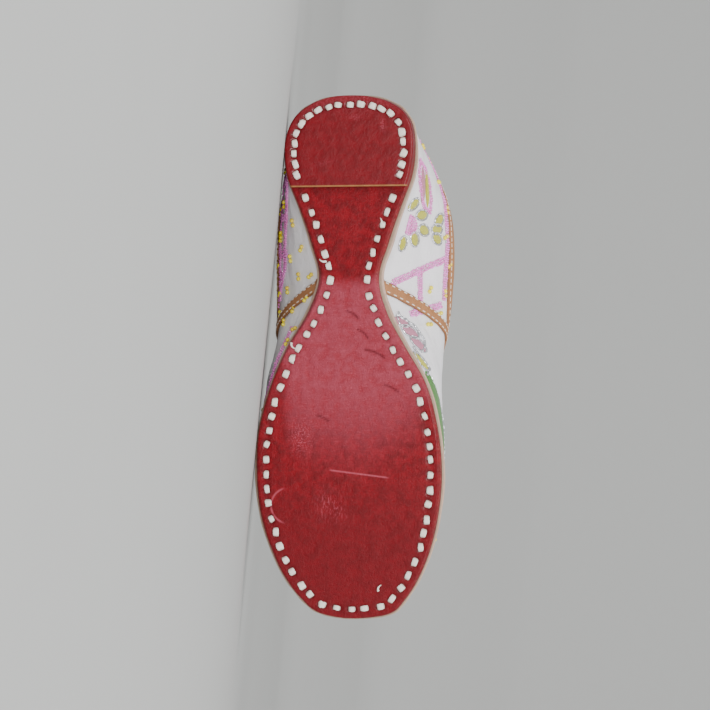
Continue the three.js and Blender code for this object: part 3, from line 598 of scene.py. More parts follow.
def satin(colours):
    """White satin: fine diagonal weave, soft sheen and a little dirt towards the sole."""
    f = Finish("white_satin")
    place = f.place()
    x, _, _ = f.split(place)
    girth = f.value("girth")
    cloud = f.noise(place, 0.06, 4, 0.55)
    soft = f.noise(f.stretch(place, (0.6, 1, 1.5)), 0.13, 3, 0.5, 0.6)
    slub = f.noise(f.stretch(place, (0.5, 0.5, 9)), 0.8, 3, 0.6)
    weave = (((x * 11.0 + girth * 5.0).sine() * 0.5 + 0.5) * 0.6
             + ((girth * 13.0 - x * 2.0).sine() * 0.5 + 0.5) * 0.4)
    base = f.mix(soft, tint(colours.satin, 0.9), tint(colours.satin, 1.04))
    base = f.mix(slub.between(0.55, 0.8) * 0.25, base, tint(colours.satin, 0.78))
    dirt = (1 - girth.between(0.5, 7.0)) * cloud.between(0.35, 0.65)
    base = f.mix(dirt * 0.42, base, (0.42, 0.38, 0.34, 1))
    f.bump(soft, 0.6, 1.6)
    f.bump(slub, 0.5, 0.25)
    f.bump(weave, 0.5, 0.16)
    f.shader.inputs["Sheen Weight"].default_value = 0.18
    f.shader.inputs["Anisotropic"].default_value = 0.35
    return f.finish(base, 0.34 + soft * 0.1 + slub * 0.08)


def lining_leather(colours, name):
    """Plain tan leather, matt and a little stained."""
    f = Finish(name)
    place = f.place()
    cloud = f.noise(place, 0.08, 4, 0.6)
    pores = f.cells(place, 1.6)
    fine = f.noise(place, 1.1, 4, 0.6)
    base = f.mix(cloud.between(0.3, 0.7), tint(colours.lining, 0.82), tint(colours.lining, 1.1))
    base = f.mix((1 - pores.between(0.0, 0.25)) * 0.4, base, tint(colours.lining, 0.55))
    f.bump(pores, 0.3, 0.15)
    f.bump(fine, 0.3, 0.2)
    return f.finish(base, 0.62 + fine * 0.18)


def tan_leather(colours):
    """Thin tan strip: cracked, a little darker along its edges, rubbed on its ridge."""
    f = Finish("tan_binding_leather")
    place = f.place()
    rim = f.value("rim")
    cloud = f.noise(place, 0.15, 4, 0.6)
    cracks = f.cells(f.stretch(place, (1.0, 1.0, 1.3)), 0.85, "DISTANCE_TO_EDGE")
    fine = f.noise(place, 1.6, 4, 0.65)
    base = f.mix(cloud.between(0.3, 0.7), tint(colours.tan, 0.85), tint(colours.tan, 1.15))
    base = f.mix(fine.between(0.5, 0.75) * 0.4, base, tint(colours.tan, 1.5))
    base = f.mix((1 - cracks.between(0.0, 0.07)) * cloud.between(0.42, 0.6) * 0.6, base,
                 tint(colours.tan, 0.35))
    base = f.mix(rim.between(0.6, 1.0) * 0.55, base, tint(colours.tan, 0.42))
    f.bump(cracks.between(0.0, 0.12), 0.35, 0.18)
    f.bump(fine, 0.4, 0.18)
    return f.finish(base, 0.5 + fine * 0.2)


def lace(colours):
    """Flat leather lace, creamy white, with rubbed and dirty ends."""
    f = Finish("cream_lace")
    place = f.place()
    end = f.value("end")
    fibres = f.noise(place, 1.3, 4, 0.65, 1.2)
    fine = f.noise(place, 3.0, 3, 0.6)
    base = f.mix(fibres.between(0.35, 0.7), tint(colours.lace, 0.86), tint(colours.lace, 1.05))
    base = f.mix(end.between(0.55, 1.0) * (0.35 + fine * 0.5), base, (0.36, 0.2, 0.17, 1))
    f.bump(fibres, 0.5, 0.3)
    f.bump(fine, 0.3, 0.12)
    return f.finish(base, 0.5 + fibres * 0.2)


def bead_glass(name, colour, metallic=0.0):
    """Glossy seed beads, each a little lighter or darker than the next."""
    f = Finish(name)
    place = f.place()
    pick = f.value("pick")
    fine = f.noise(place, 1.5, 2, 0.5)
    base = f.mix(pick, tint(colour, 0.78), tint(colour, 1.2))
    base = f.mix(fine.between(0.5, 0.8) * 0.2, base, (0.95, 0.93, 0.93, 1))
    f.bump(fine, 0.15, 0.1)
    f.shader.inputs["Coat Roughness"].default_value = 0.06
    return f.finish(base, 0.2 + fine * 0.12, Metallic=metallic, Coat_Weight=0.6)


def stitched_thread(name, colour, shade):
    """Satin stitch: floss laid side by side, with painted shade between the strands and along the patch's sides.
    """
    f = Finish(name)
    place = f.place()
    along, across, _ = f.split(f.place("thread"))
    wobble = f.noise(place, 0.9, 3, 0.6)
    strands = (along * 13.0 + wobble * 7.0).sine() * 0.5 + 0.5
    # painted shade between the strands
    base = f.mix(strands, tint(shade), tint(colour))
    # painted shade along the sloping sides of the raised patch
    base = f.mix(abs(across).between(0.62, 1.0) * 0.4, base, tint(shade, 0.8))
    base = f.mix(wobble.between(0.55, 0.8) * 0.25, base, tint(colour, 1.2))
    f.bump(strands, 0.9, 0.45)
    f.bump(wobble, 0.4, 0.25)
    f.shader.inputs["Sheen Weight"].default_value = 0.25
    return f.finish(base, 0.36 + wobble * 0.16)


def plain_thread(name, colour):
    """Twisted sewing thread."""
    f = Finish(name)
    twist = f.noise(f.place(), 4.8, 3, 0.6)
    f.bump(twist, 0.4, 0.12)
    return f.finish(f.mix(twist, tint(colour, 0.75), tint(colour, 1.1)), 0.6 + twist * 0.2)


# ---------------------------------------------------------------- sole

# Rows of lace stitches: their distance from the edge and how many stitches each has
LACE_INSET = 4.5
LIFT_STITCHES, SOLE_STITCHES = 21, 65

# Half-width of the square around a stitch where the leather puckers, in mm
PUCKER_REACH = 6
# Creases and dents of the red face: x, y of both ends, half-width, depth (a ridge if negative)
CREASES = [
    (103, 1, 106.4, -4.3, 0.9, 0.35), (111.7, -4.3, 116, -9.2, 0.8, 0.3),
    (121.4, -7.7, 125.2, -16.9, 1.0, 0.42), (138.3, -17.4, 141.2, -23.2, 0.9, 0.35),
    (152.7, 15.4, 155.6, 9.7, 0.9, 0.32), (124.3, 20.3, 134.4, 18.3, 1.4, 0.2),
    (98, 12, 112, 13, 3.0, 0.25), (118, 6, 128, 9, 3.2, -0.22), (131, -4, 142, -2, 3.6, 0.2),
    (147, -26, 160, -22, 3.0, 0.2), (168, 22, 180, 26, 3.6, -0.18), (172, -12, 186, -6, 4.2, 0.2),
    (190, 8, 206, 14, 4.0, 0.2), (209, -20, 222, -14, 3.4, 0.2), (178, -28, 181, -12, 1.1, 0.16),
    (58, -6, 70, -4, 3.0, 0.22), (74, 5, 84, 3, 2.6, 0.2), (86, -9, 94, -4, 2.2, -0.2),
]


def row_points(out, open_x, far_turn, middle_x, count, seed):
    """Evenly spaced places of a stitched row, with the row's direction. The row runs from open_x on
    the outer side by way of the heel or toe, at far_turn, to open_x on the inner side, and
    middle_x is well inside it."""
    turns = np.linspace(float(turn_of(open_x / LENGTH)), far_turn, 700)
    lateral, medial = (np.stack(outline(np.full(turns.shape, side), turns, out), -1)
                       for side in (LATERAL, MEDIAL))
    path = np.vstack([lateral, medial[::-1][1:]])
    tangent = unit(np.gradient(path, axis=0))
    inward = np.stack([-tangent[:, 1], tangent[:, 0]], -1)
    middle = np.array([middle_x, 0.0])
    inward *= np.sign(((middle - path)[len(path) // 2] * inward[len(path) // 2]).sum())
    reach = 20
    blur = np.full(2 * reach + 1, 1 / (2 * reach + 1))
    for _ in range(3):
        inward = unit(np.stack([np.convolve(np.pad(inward[:, k], reach, "edge"), blur, "valid")
                                for k in range(2)], -1))
    path = path + inward * LACE_INSET
    length = np.concatenate([[0], np.cumsum(np.linalg.norm(np.diff(path, axis=0), axis=1))])
    rng = np.random.default_rng(seed)
    pitch = length[-1] / count
    at = (np.arange(count) + 0.5) * pitch + rng.normal(0, pitch * 0.05, count)
    place = np.stack([np.interp(at, length, path[:, k]) for k in range(2)], -1)
    ahead = np.stack([np.interp(at + 1.5, length, path[:, k]) for k in range(2)], -1)
    place += rng.normal(0, 0.22, place.shape)
    return place, unit(ahead - place)


def lace_rows():
    """Places and directions of the stitches on the heel lift and on the sole."""
    lift = row_points(-LIFT_TAPER, LIFT_LENGTH - 1.6, 0.0, 24.0, LIFT_STITCHES, 11)
    sole = row_points(0.0, LIFT_LENGTH + 3.6, 1.0, 150.0, SOLE_STITCHES, 12)
    return lift, sole


def relief(x, y, row):
    """The listed creases and the puckers around the lace, as a depth, with their two masks."""
    depth = np.zeros(x.shape)
    dark = np.zeros(x.shape)
    for ax, ay, bx, by, width, deep in CREASES:
        span = np.array([bx - ax, by - ay], float)
        reach = np.hypot(*span)
        t = np.clip(((x - ax) * span[0] + (y - ay) * span[1]) / reach ** 2, 0, 1)
        bow = 0.12 * reach * np.sin(math.pi * t) * 0.6
        far = np.hypot(x - ax - span[0] * t - bow * span[1] / reach,
                       y - ay - span[1] * t + bow * span[0] / reach)
        mark = np.exp(-(far / width) ** 2) * (0.35 + 0.65 * np.sin(math.pi * np.clip(t * 0.9 + 0.05, 0, 1)))
        depth += deep * mark
        # dark: a mask of painted shade along the narrow, deep creases
        if width < 1.3 and deep > 0.25:
            dark = np.maximum(dark, np.exp(-(far / (0.55 * width)) ** 2))
    pucker = np.zeros(x.shape)
    for (px, py), (wx, wy) in zip(*row):
        near = (np.abs(x - px) < PUCKER_REACH) & (np.abs(y - py) < PUCKER_REACH)
        if not near.any():
            continue
        u = (x[near] - px) * wx + (y[near] - py) * wy
        v = -(x[near] - px) * wy + (y[near] - py) * wx
        holes = np.exp(-((np.abs(u) - 1.5) / 0.75) ** 2 - (v / 1.25) ** 2)
        bed = np.exp(-(u / 2.1) ** 2 - (v / 1.5) ** 2)
        depth[near] += 0.5 * holes + 0.28 * bed
        # pucker: a mask of painted shade around the stitch holes
        pucker[near] = np.maximum(pucker[near], np.clip(1.25 * holes + 0.45 * bed, 0, 1))
    return depth, dark, pucker


def red_face(turns, out_low, out_high, bottom, top, row):
    """Loops of one red layer: its lower face with relief, its edge and its plain upper face."""
    spread = np.sin(np.linspace(-TOP, TOP, 104))
    loops, crease, pucker, edge = [], [], [], []
    lateral, medial = np.full(turns.shape, LATERAL), np.full(turns.shape, MEDIAL)
    (low_x, low_l), (_, low_m) = outline(lateral, turns, out_low), outline(medial, turns, out_low)
    (high_x, high_l), (_, high_m) = outline(lateral, turns, out_high), outline(medial, turns, out_high)
    for i in range(len(turns)):
        wide = (low_l[i] - low_m[i]) / 2
        centre = (low_l[i] + low_m[i]) / 2
        y = centre + spread * wide
        x = np.full(y.shape, low_x[i])
        inset = wide * (1 - np.abs(spread))
        deep, dark, puck = relief(x, y, row)
        fade = np.clip(inset / 1.6, 0, 1)
        rounding = 0.55 * np.clip(1 - inset / 1.1, 0, 1) ** 2
        face = np.stack([x, y, bottom[i] + deep * fade + rounding], -1)
        left, right = ([(low_x[i] + (high_x[i] - low_x[i]) * up, low[i] + (high[i] - low[i]) * up,
                         bottom[i] + (top[i] - bottom[i]) * up) for up in (0.4, 0.75, 1.0)]
                       for low, high in ((low_l, high_l), (low_m, high_m)))
        loops.append(np.vstack([face, left, right[::-1]]))
        rim = np.ones(len(left) + len(right))
        # crease and pucker carry the painted shade masks to the material
        crease.append(np.concatenate([dark * fade, rim * 0]))
        pucker.append(np.concatenate([puck * fade, rim * 0]))
        edge.append(np.concatenate([np.clip(1 - inset / 0.8, 0, 1), rim]))
    return np.array(loops), {"crease": np.ravel(crease), "pucker": np.ravel(pucker), "edge": np.ravel(edge)}


def edge_noise(turns, seed, size):
    """A slow waver along the cut edge, in millimetres."""
    count = 90
    knots = np.random.default_rng(seed).normal(0, size, count)
    return np.interp(turns, np.linspace(0, 1, count), np.convolve(knots, [0.25, 0.5, 0.25], "same"))


def build_outsole(colours):
    """The red sole, whose edge leans out towards the undyed layer."""
    turns = np.linspace(0, 1, 520)
    low = sole_bottom(share_of(turns))
    loops, values = red_face(turns, edge_noise(turns, 3, 0.12), LEAN(turns) * OUTSOLE / (OUTSOLE + MIDSOLE),
                             low, low + OUTSOLE, lace_rows()[1])
    piece = loft("outsole_red", loops, red_leather(colours), values)
    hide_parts("outsole")


def build_heel_lift(colours):
    """The extra red layer under the heel, cut straight at its breast."""
    turns = np.linspace(0, float(turn_of(LIFT_LENGTH / LENGTH)), 210)
    zero = np.zeros(turns.shape)
    loops, values = red_face(turns, zero - LIFT_TAPER + edge_noise(turns, 4, 0.1), zero, zero,
                             zero + LIFT_THICKNESS, lace_rows()[0])
    piece = loft("heel_lift_red", loops, lift_leather(colours), values, 50, (False, True))
    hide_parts("heel_lift")


# How far the undyed layer stands out past the red one on the inner side, as (share, mm)
INNER_EDGE = Column([(0, 0), (0.07, 0.1), (0.15, 0.9), (0.4, 1.0), (0.52, 0.6), (0.7, 0.2), (1, 0)])


def build_midsole(colours):
    """The undyed layer, with a slightly wavy, rounded edge."""
    turns = np.linspace(0, 1, 560)
    share = share_of(turns)
    bottom, top = sole_bottom(share) + OUTSOLE + GAP, sole_top(share)
    lean = LEAN(turns)
    low_out = lean * OUTSOLE / (OUTSOLE + MIDSOLE) + EDGE_STEP
    waver = edge_noise(turns, 5, 0.16)
    # share of the thickness, how far the edge stands out there in mm
    profile = [(0.0, -0.9), (0.0, -0.15), (0.15, 0.05), (0.4, 0.14), (0.65, 0.12), (0.88, 0.0), (1.0, -0.25),
               (1.0, -4.0)]
    rows, rise = [], []
    for side, order in ((LATERAL, profile), (MEDIAL, profile[::-1])):
        for up, bulge in order:
            out = low_out + (lean + EDGE_STEP - low_out) * up + bulge
            if bulge > -0.5:
                out = out + waver
            if side == MEDIAL and bulge > -1:
                out = out + INNER_EDGE(turns)
            x, y = outline(np.full(turns.shape, side), turns, out)
            rows.append(np.stack([x, y, bottom + (top - bottom) * up], -1))
            rise.append(np.full(turns.shape, up))
    piece = loft("midsole_edge", np.stack(rows, 1), edge_leather(colours),
                 {"rise": np.stack(rise, 1).ravel()})
    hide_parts("midsole")


def build_insole(colours):
    """The sock inside, a little cupped at its edge."""
    turns = np.linspace(0, 1, 200)
    spread = np.sin(np.linspace(-TOP, TOP, 26))
    outer, inner = (wall_point(side, turns, np.zeros(turns.shape), -WALL - GAP) for side in (LATERAL, MEDIAL))
    base = sole_top(np.clip(outer[:, 0] / LENGTH, 0, 1)) + GAP

    def row(s, height):
        point = outer * (1 + s) / 2 + inner * (1 - s) / 2
        return np.stack([point[:, 0], point[:, 1], height], -1)

    rows = [row(s, base + INSOLE - 0.7 + 0.7 * np.abs(s) ** 6) for s in spread]
    rows += [row(s, base) for s in spread[::-1][::5]]
    piece = loft("insole_sock", np.stack(rows, 1), lining_leather(colours, "insole_leather"))
    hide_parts("insole")


class Bits:
    """Many small closed shapes that are kept as one piece."""

    def __init__(self):
        self.points, self.faces, self.values, self.count = [], [], {}, 0

    def add(self, points, faces, **values):
        points = np.asarray(points, float)
        self.points.append(points)
        self.faces += [[corner + self.count for corner in face] for face in faces]
        for key, data in values.items():
            data = np.asarray(data, float)
            if data.ndim == 0:
                data = np.full(len(points), float(data))
            self.values.setdefault(key, []).append(data)
        self.count += len(points)

    def make(self, name, slot, finish, sharp=None):
        values = {key: np.concatenate(rows) for key, rows in self.values.items()}
        return make_piece(name, np.vstack(self.points), self.faces, [finish], values, sharp)


# Ends of lace that have worked loose: x, y, direction at the stitch, curl to either side
LOOSE_ENDS = [(79.0, 11.2, 0.9, 1.0), (62.0, -14.6, -2.2, -1.0), (236.5, -14.0, 2.6, 1.0),
              (118.0, 27.5, 0.4, -1.0)]


def squared(value, power):
    """Raises a sine or cosine to a power and keeps its sign, which squares a circle."""
    return math.copysign(abs(value) ** power, value)


def lace_stitch(sizes, rng, place, way, base):
    """Rings of a short flat strap that comes up through one hole and goes down the next."""
    rings, columns = 13, 10
    length = sizes.stitch_length * rng.uniform(0.85, 1.18)
    width = sizes.stitch_width * rng.uniform(0.85, 1.2)
    swing = rng.normal(0, 0.12)
    way = np.array([way[0] - swing * way[1], way[1] + swing * way[0]])
    way /= np.hypot(*way)
    cross = np.array([-way[1], way[0]])
    tilt, skew = rng.normal(0, 0.12), rng.normal(0, 0.14)
    loops = []
    for s in np.linspace(-1, 1, rings):
        hump = 0.62 * (1 - abs(s) ** 3.2) - 0.55 * abs(s) ** 5
        narrow = 1 - 0.26 * abs(s) ** 3 + 0.05 * rng.normal()
        for k in range(columns):
            phi = 2 * math.pi * k / columns
            v = width / 2 * narrow * squared(math.cos(phi), 0.6)
            w = 0.34 * squared(math.sin(phi), 0.7)
            x, y = place + way * (s * length / 2 + v * skew * s) + cross * v
            loops.append((x, y, base - (hump + w + tilt * v * 0.3) + 0.18))
    return loops, rings, columns


def loose_end(x, y, way, curl):
    """Rings of a thin end of lace that curls over the edge of its stitch."""
    rings, columns, reach = 12, 8, 3.4
    base = float(sole_bottom(x / LENGTH))
    loops = []
    for s in np.linspace(0, 1, rings):
        turn = way + curl * 1.9 * s
        px = x + reach * s * math.cos(way + curl * 0.95 * s)
        py = y + reach * s * math.sin(way + curl * 0.95 * s)
        lift = 0.35 + 0.9 * math.sin(math.pi * s * 0.8)
        for k in range(columns):
            phi = 2 * math.pi * k / columns
            v = (0.62 - 0.4 * s) * math.cos(phi)
            loops.append((px - math.sin(turn) * v, py + math.cos(turn) * v, base - lift - 0.2 * math.sin(phi)))
    return loops, rings, columns


def build_lace(sizes, colours):
    """The rows of lace stitches on the heel lift and the sole, and a few loose ends."""
    rng = np.random.default_rng(21)
    bits = Bits()
    for heel, (places, ways) in zip((True, False), lace_rows()):
        for place, way in zip(places, ways):
            base = 0.0 if heel else float(sole_bottom(place[0] / LENGTH))
            points, rings, columns = lace_stitch(sizes, rng, place, way, base)
            worn = np.abs(np.linspace(-1, 1, rings))
            bits.add(points, tube_faces(rings, columns), end=np.repeat(worn, columns))
    for spot in LOOSE_ENDS:
        points, rings, columns = loose_end(*spot)
        bits.add(points, tube_faces(rings, columns), end=np.repeat(np.linspace(0.2, 0.8, rings), columns))
    bits.make("lace_stitches", "natural_leather", lace(colours))


# ---------------------------------------------------------------- upper

# Soft troughs (positive) and ridges of the satin: side, x and share of the rib's height at both
# ends, half-width in mm, depth in mm
WRINKLES = [
    (1, 22, 0.25, 60, 0.55, 4.0, 0.35), (1, 48, 0.2, 86, 0.4, 3.4, -0.3), (1, 70, 0.7, 108, 0.35, 4.0, 0.35),
    (1, 96, 0.15, 128, 0.4, 3.6, 0.4), (1, 120, 0.5, 150, 0.2, 4.2, -0.3), (1, 140, 0.15, 176, 0.32, 4.0, 0.4),
    (1, 165, 0.5, 200, 0.25, 4.6, 0.35), (1, 196, 0.1, 226, 0.35, 3.8, 0.35), (1, 30, 0.8, 66, 0.85, 4.4, 0.3),
    (-1, 24, 0.3, 58, 0.5, 4.0, 0.35), (-1, 44, 0.75, 78, 0.6, 4.0, -0.3), (-1, 66, 0.3, 100, 0.62, 3.8, 0.38),
    (-1, 92, 0.2, 118, 0.45, 3.4, 0.42), (-1, 118, 0.3, 146, 0.22, 4.0, -0.32),
    (-1, 138, 0.45, 172, 0.2, 4.4, 0.4), (-1, 170, 0.2, 206, 0.3, 4.0, 0.38),
    (-1, 200, 0.4, 228, 0.15, 4.0, 0.35), (-1, 150, 0.8, 182, 0.6, 5.0, 0.35),
    (1, 150, 0.8, 184, 0.62, 5.0, 0.35), (1, 205, 0.7, 228, 0.5, 4.4, 0.3), (-1, 206, 0.72, 230, 0.5, 4.4, 0.3),
]
# How loosely the satin lies, and a usual height of the wall in mm
SLACK, RIB = 1.7, 45.0


def ripple(side, turn, angle):
    """How far the satin stands in or out, from the listed troughs and a fine slack."""
    place = last_point(side, turn, angle)
    x = place[..., 0]
    up = angle / np.maximum(top_angle(side, turn), 1e-3)
    total = np.zeros(np.broadcast(x, up).shape)
    for which, ax, au, bx, bu, width, deep in WRINKLES:
        a, b = np.array([ax, au * RIB]), np.array([bx, bu * RIB])
        span = b - a
        t = np.clip(((x - a[0]) * span[0] + (up * RIB - a[1]) * span[1]) / span.dot(span), 0, 1)
        far = np.hypot(x - a[0] - span[0] * t, up * RIB - a[1] - span[1] * t + 3 * np.sin(math.pi * t))
        fold = SLACK * deep * np.exp(-(far / width) ** 2) * np.sin(math.pi * (0.1 + 0.8 * t))
        total -= np.where(side == which, fold, 0)
    total += 0.07 * np.sin(x * 0.61 + up * 9) * np.sin(up * 21 + x * 0.17)
    calm = np.clip(up / 0.08, 0, 1) * np.clip((1 - up) / 0.12, 0, 1)
    calm = np.where(np.asarray(turn) > TIP_TURN, np.clip(up / 0.08, 0, 1), calm)
    return total * calm


def skin(side, turn, angle, lift=0.0):
    """A point of the satin, `lift` above it."""
    return wall_point(side, turn, angle, ripple(side, turn, angle) + lift)


def ring_stations(quarter, throat, vamp):
    """Side and turn of the ribs around the shoe, from the heel by the outer side to the heel."""
    stretch = np.concatenate([np.linspace(0, 1, quarter, endpoint=False), np.linspace(1, 2, throat)])
    turn = np.concatenate([edge_at(np.ones(stretch.shape), stretch, np.zeros(stretch.shape))[0],
                           np.linspace(TIP_TURN, 1, vamp)[1:]])
    both = np.concatenate([turn, turn[::-1][1:]])
    side = np.concatenate([np.ones(len(turn)), -np.ones(len(turn) - 1)])
    return side, both


def build_upper(colours):
    """The satin outside and the leather inside of the wall, as one closed body."""
    side, turn = ring_stations(190, 80, 130)
    end = top_angle(side, turn)[:, None]
    outer_rows, inner_rows = 66, 22
    columns = outer_rows + inner_rows
    s, t = side[:, None], turn[:, None]
    satin_points = skin(s, t, end * np.linspace(0, 1, outer_rows))
    lining_points = wall_point(s, t, end * np.linspace(0, 1, inner_rows), -WALL)
    points = np.concatenate([satin_points, lining_points[:, ::-1]], 1).reshape(-1, 3)
    girth = np.linalg.norm(np.diff(satin_points, axis=1), axis=2).cumsum(1)
    girth = np.concatenate([np.zeros((len(side), 1)), girth], 1)
    girth = np.concatenate([girth, np.tile(girth[:, -1:], (1, inner_rows))], 1)
    quads = grid_quads(len(side), columns, wrap=True)
    # the crest of the vamp is one line for both sides, so there the rim has no area
    column = np.tile(np.arange(columns), len(side) - 1)
    crest = np.repeat((turn[:-1] >= TIP_TURN - 1e-9) & (turn[1:] >= TIP_TURN - 1e-9), columns)
    quads = quads[~(crest & (column == outer_rows - 1))]
    faces, first, corner_of = weld(points, quads)
    inside = np.zeros(len(first), bool)
    inside[corner_of.reshape(len(side), columns)[:, outer_rows:]] = True
    parts = [int(inside[face].all()) for face in faces]
    piece = make_piece("upper_satin", points[first], faces,
                       [satin(colours), lining_leather(colours, "upper_lining")],
                       {"girth": girth.ravel()[first]}, None, parts)
    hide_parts("upper")


# Section of a binding on the wall: how far below the edge, how far out, in mm
FOLD = [(BINDING_DEPTH, 0.15), (BINDING_DEPTH, 0.8), (BINDING_DEPTH - 0.5, 1.2), (3.4, 1.38), (2.0, 1.4),
        (0.7, 1.4)]


def fold_loops(side, stretch):
    """Loops of a strip folded over the edge of the wall, rounded at its lips and over the top."""
    edge_turn, edge_angle = edge_at(side, stretch, np.zeros(side.shape))
    under_turn, under_angle = edge_at(side, stretch, np.full(side.shape, BINDING_DEPTH / 2))
    rise = unit(last_point(side, edge_turn, edge_angle) - last_point(side, under_turn, under_angle))
    thick = GAP + BINDING

    def at(drop, out):
        turn, angle = edge_at(side, stretch, np.full(side.shape, drop))
        return wall_point(side, turn, angle, out)

    waver = 0.08 * np.sin(stretch * 61 + side) + 0.05 * np.sin(stretch * 143)
    rows, rims = [], []
    for drop, out in FOLD:
        rows.append(at(drop, out + waver * 0.5))
        rims.append(1.0 if drop >= BINDING_DEPTH else 0.7 if drop > 4 else 0.15)
    half = (WALL + 2 * thick) / 2
    for phi in np.linspace(0, math.pi, 9):
        out = -WALL / 2 + half * math.cos(phi)
        rows.append(wall_point(side, edge_turn, edge_angle, out) + rise * thick * math.sin(phi))
        rims.append(0.0)
    for drop, out in FOLD[::-1]:
        rows.append(at(drop, -WALL - out))
        rims.append(0.7 if drop > 4 else 0.1)
    return np.stack(rows, 1), np.tile(np.array(rims), (len(side), 1))


def build_bindings(colours):
    """The strip over the quarters' edge, the strip over the throat and the two side bands."""
    finish = tan_leather(colours)
    count = 361
    corner_stretch = float(turn_of((CORNER - BAND_WIDTH / 2) / LENGTH)) / CORNER_TURN
    stretch = np.abs(np.linspace(-corner_stretch, corner_stretch, count))
    side = np.where(np.linspace(-1, 1, count) < 0, MEDIAL, LATERAL)
    loops, rims = fold_loops(side, stretch)
    piece = loft("collar_strip", loops, finish, {"rim": rims.ravel()}, None, (True, True))
    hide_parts("collar_binding")

    start = corner_stretch + 0.012
    run = np.concatenate([np.linspace(start, 1, 12, endpoint=False), np.linspace(1, 2, 120)])
    stretch = np.concatenate([run, run[::-1][1:]])
    side = np.concatenate([np.ones(len(run)), -np.ones(len(run) - 1)])
    loops, rims = fold_loops(side, stretch)
    throat = loft("throat_strip", loops, finish, {"rim": rims.ravel()}, None, (True, True))
    bands = [build_band(which, side_of, finish) for which, side_of in (("outer", LATERAL), ("inner", MEDIAL))]
    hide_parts("vamp_binding")
    for band in bands:
        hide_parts("vamp_binding")


def band_place(side, up, across):
    """Turn and angle on the wall for a place of a side band: up 0 to 1, across in mm."""
    run = CORNER - BAND_FOOT
    slant = math.hypot(run, COLLAR_HEIGHT) / COLLAR_HEIGHT
    turn = turn_of((BAND_FOOT + run * up + across * slant) / LENGTH)
    foot = sole_top(share_of(turn)) + GAP
    angle = angle_at(side, turn, foot + (COLLAR_EDGE(turn) - foot) * up)
    return turn, np.where(up <= 0.001, 0.0, angle)


def build_band(name, side_of, finish):
    """A strip that runs down from the corner of the opening to the sole."""
    section = [(-1, 0.2), (-1, 0.7), (-0.93, 1.1), (-0.6, 1.32), (0, 1.38), (0.6, 1.32), (0.93, 1.1), (1, 0.7),
               (1, 0.2), (0, 0.1)]
    rows = np.linspace(0, 0.992, 110)
    side = np.full(rows.shape, side_of)
    loops, rims = [], []
    for across, out in section:
        turn, angle = band_place(side, rows, across * BAND_WIDTH / 2 + 0.12 * np.sin(rows * 40))
        loops.append(wall_point(side, turn, angle, out + 0.05 * np.sin(rows * 70)))
        rims.append(np.full(rows.shape, 1.0 if abs(across) > 0.9 else 0.2))
    return loft("side_band_" + name, np.stack(loops, 1), finish,
                {"rim": np.stack(rims, 1).ravel()}, None, (True, True))


# ---------------------------------------------------------------- beadwork

def ball_shape(rows=5, columns=8):
    """A small faceted ball, slightly flat like a seed bead."""
    flat = 0.82
    points = [(0, 0, flat)]
    for i in range(1, rows):
        theta = math.pi * i / rows
        for k in range(columns):
            phi = 2 * math.pi * k / columns
            points.append((math.sin(theta) * math.cos(phi), math.sin(theta) * math.sin(phi),
                           flat * math.cos(theta)))
    points.append((0, 0, -flat))
    last = len(points) - 1
    low = last - columns
    faces = [[0, 1 + k, 1 + (k + 1) % columns] for k in range(columns)]
    for i in range(rows - 2):
        for k in range(columns):
            a, b = 1 + i * columns + k, 1 + i * columns + (k + 1) % columns
            faces.append([a, a + columns, b + columns, b])
    faces += [[low + k, last, low + (k + 1) % columns] for k in range(columns)]
    return np.array(points), faces


def tube_shape(columns=7):
    """A bugle bead: a short tube with bevelled, hollowed ends, along x."""
    profile = [(-0.8, 0.35), (-1, 0.55), (-1, 0.85), (-0.92, 1), (0.92, 1), (1, 0.85), (1, 0.55), (0.8, 0.35)]
    points = [(x, r * math.cos(2 * math.pi * k / columns), r * math.sin(2 * math.pi * k / columns))
              for x, r in profile for k in range(columns)]
    return np.array(points), tube_faces(len(profile), columns)


BALL, TUBE = ball_shape(), tube_shape()
# How the photograph looks at the sole: its tilt, and its distance in mm
CHART_TILT, CHART_RANGE = math.radians(6.0), 800.0


def chart(side, along, out):
    """Turn and angle of the wall where it shows `out` beside the centre line of the sole, when
    the shoe is looked at from below."""
    along, out = np.atleast_1d(np.asarray(along, float)), np.atleast_1d(np.asarray(out, float))
    turn = turn_of(along / LENGTH)
    count = 90
    angles = np.linspace(0.03, 0.98 * top_angle(side, turn), count, axis=1)
    points = last_point(side, turn[:, None], angles)
    wide = points[..., 1] * side
    lift = points[..., 2] * (-side)
    seen = (wide * math.cos(CHART_TILT) + lift * math.sin(CHART_TILT)) / (1 + points[..., 2] / CHART_RANGE)
    widest = angles[np.arange(len(turn)), seen.argmax(1)]
    seen = np.maximum.accumulate(seen, axis=1) + np.linspace(0, 1e-4, count)
    found = np.array([np.interp(o, row, angle) for o, row, angle in zip(out, seen, angles)])
    return turn, np.minimum(found, widest)


def by_share(side, along, up):
    """Turn and angle of the wall at a share of its height."""
    turn = turn_of(np.atleast_1d(np.asarray(along, float)) / LENGTH)
    return turn, np.atleast_1d(np.asarray(up, float)) * top_angle(side, turn)


def path_on(side, corners, pitch, where=chart):
    """Places a pitch apart along a line on the wall: turns and angles."""
    corners = np.array(corners, float)
    t = np.linspace(0, 1, len(corners))
    fine = np.linspace(0, 1, 60)
    turn, angle = where(side, np.interp(fine, t, corners[:, 0]), np.interp(fine, t, corners[:, 1]))
    points = last_point(np.full(fine.shape, side), turn, angle)
    length = np.concatenate([[0], np.linalg.norm(np.diff(points, axis=0), axis=1).cumsum()])
    count = max(2, int(round(length[-1] / pitch)) + 1)
    at = np.linspace(0, length[-1], count)
    return np.interp(at, length, turn), np.interp(at, length, angle)


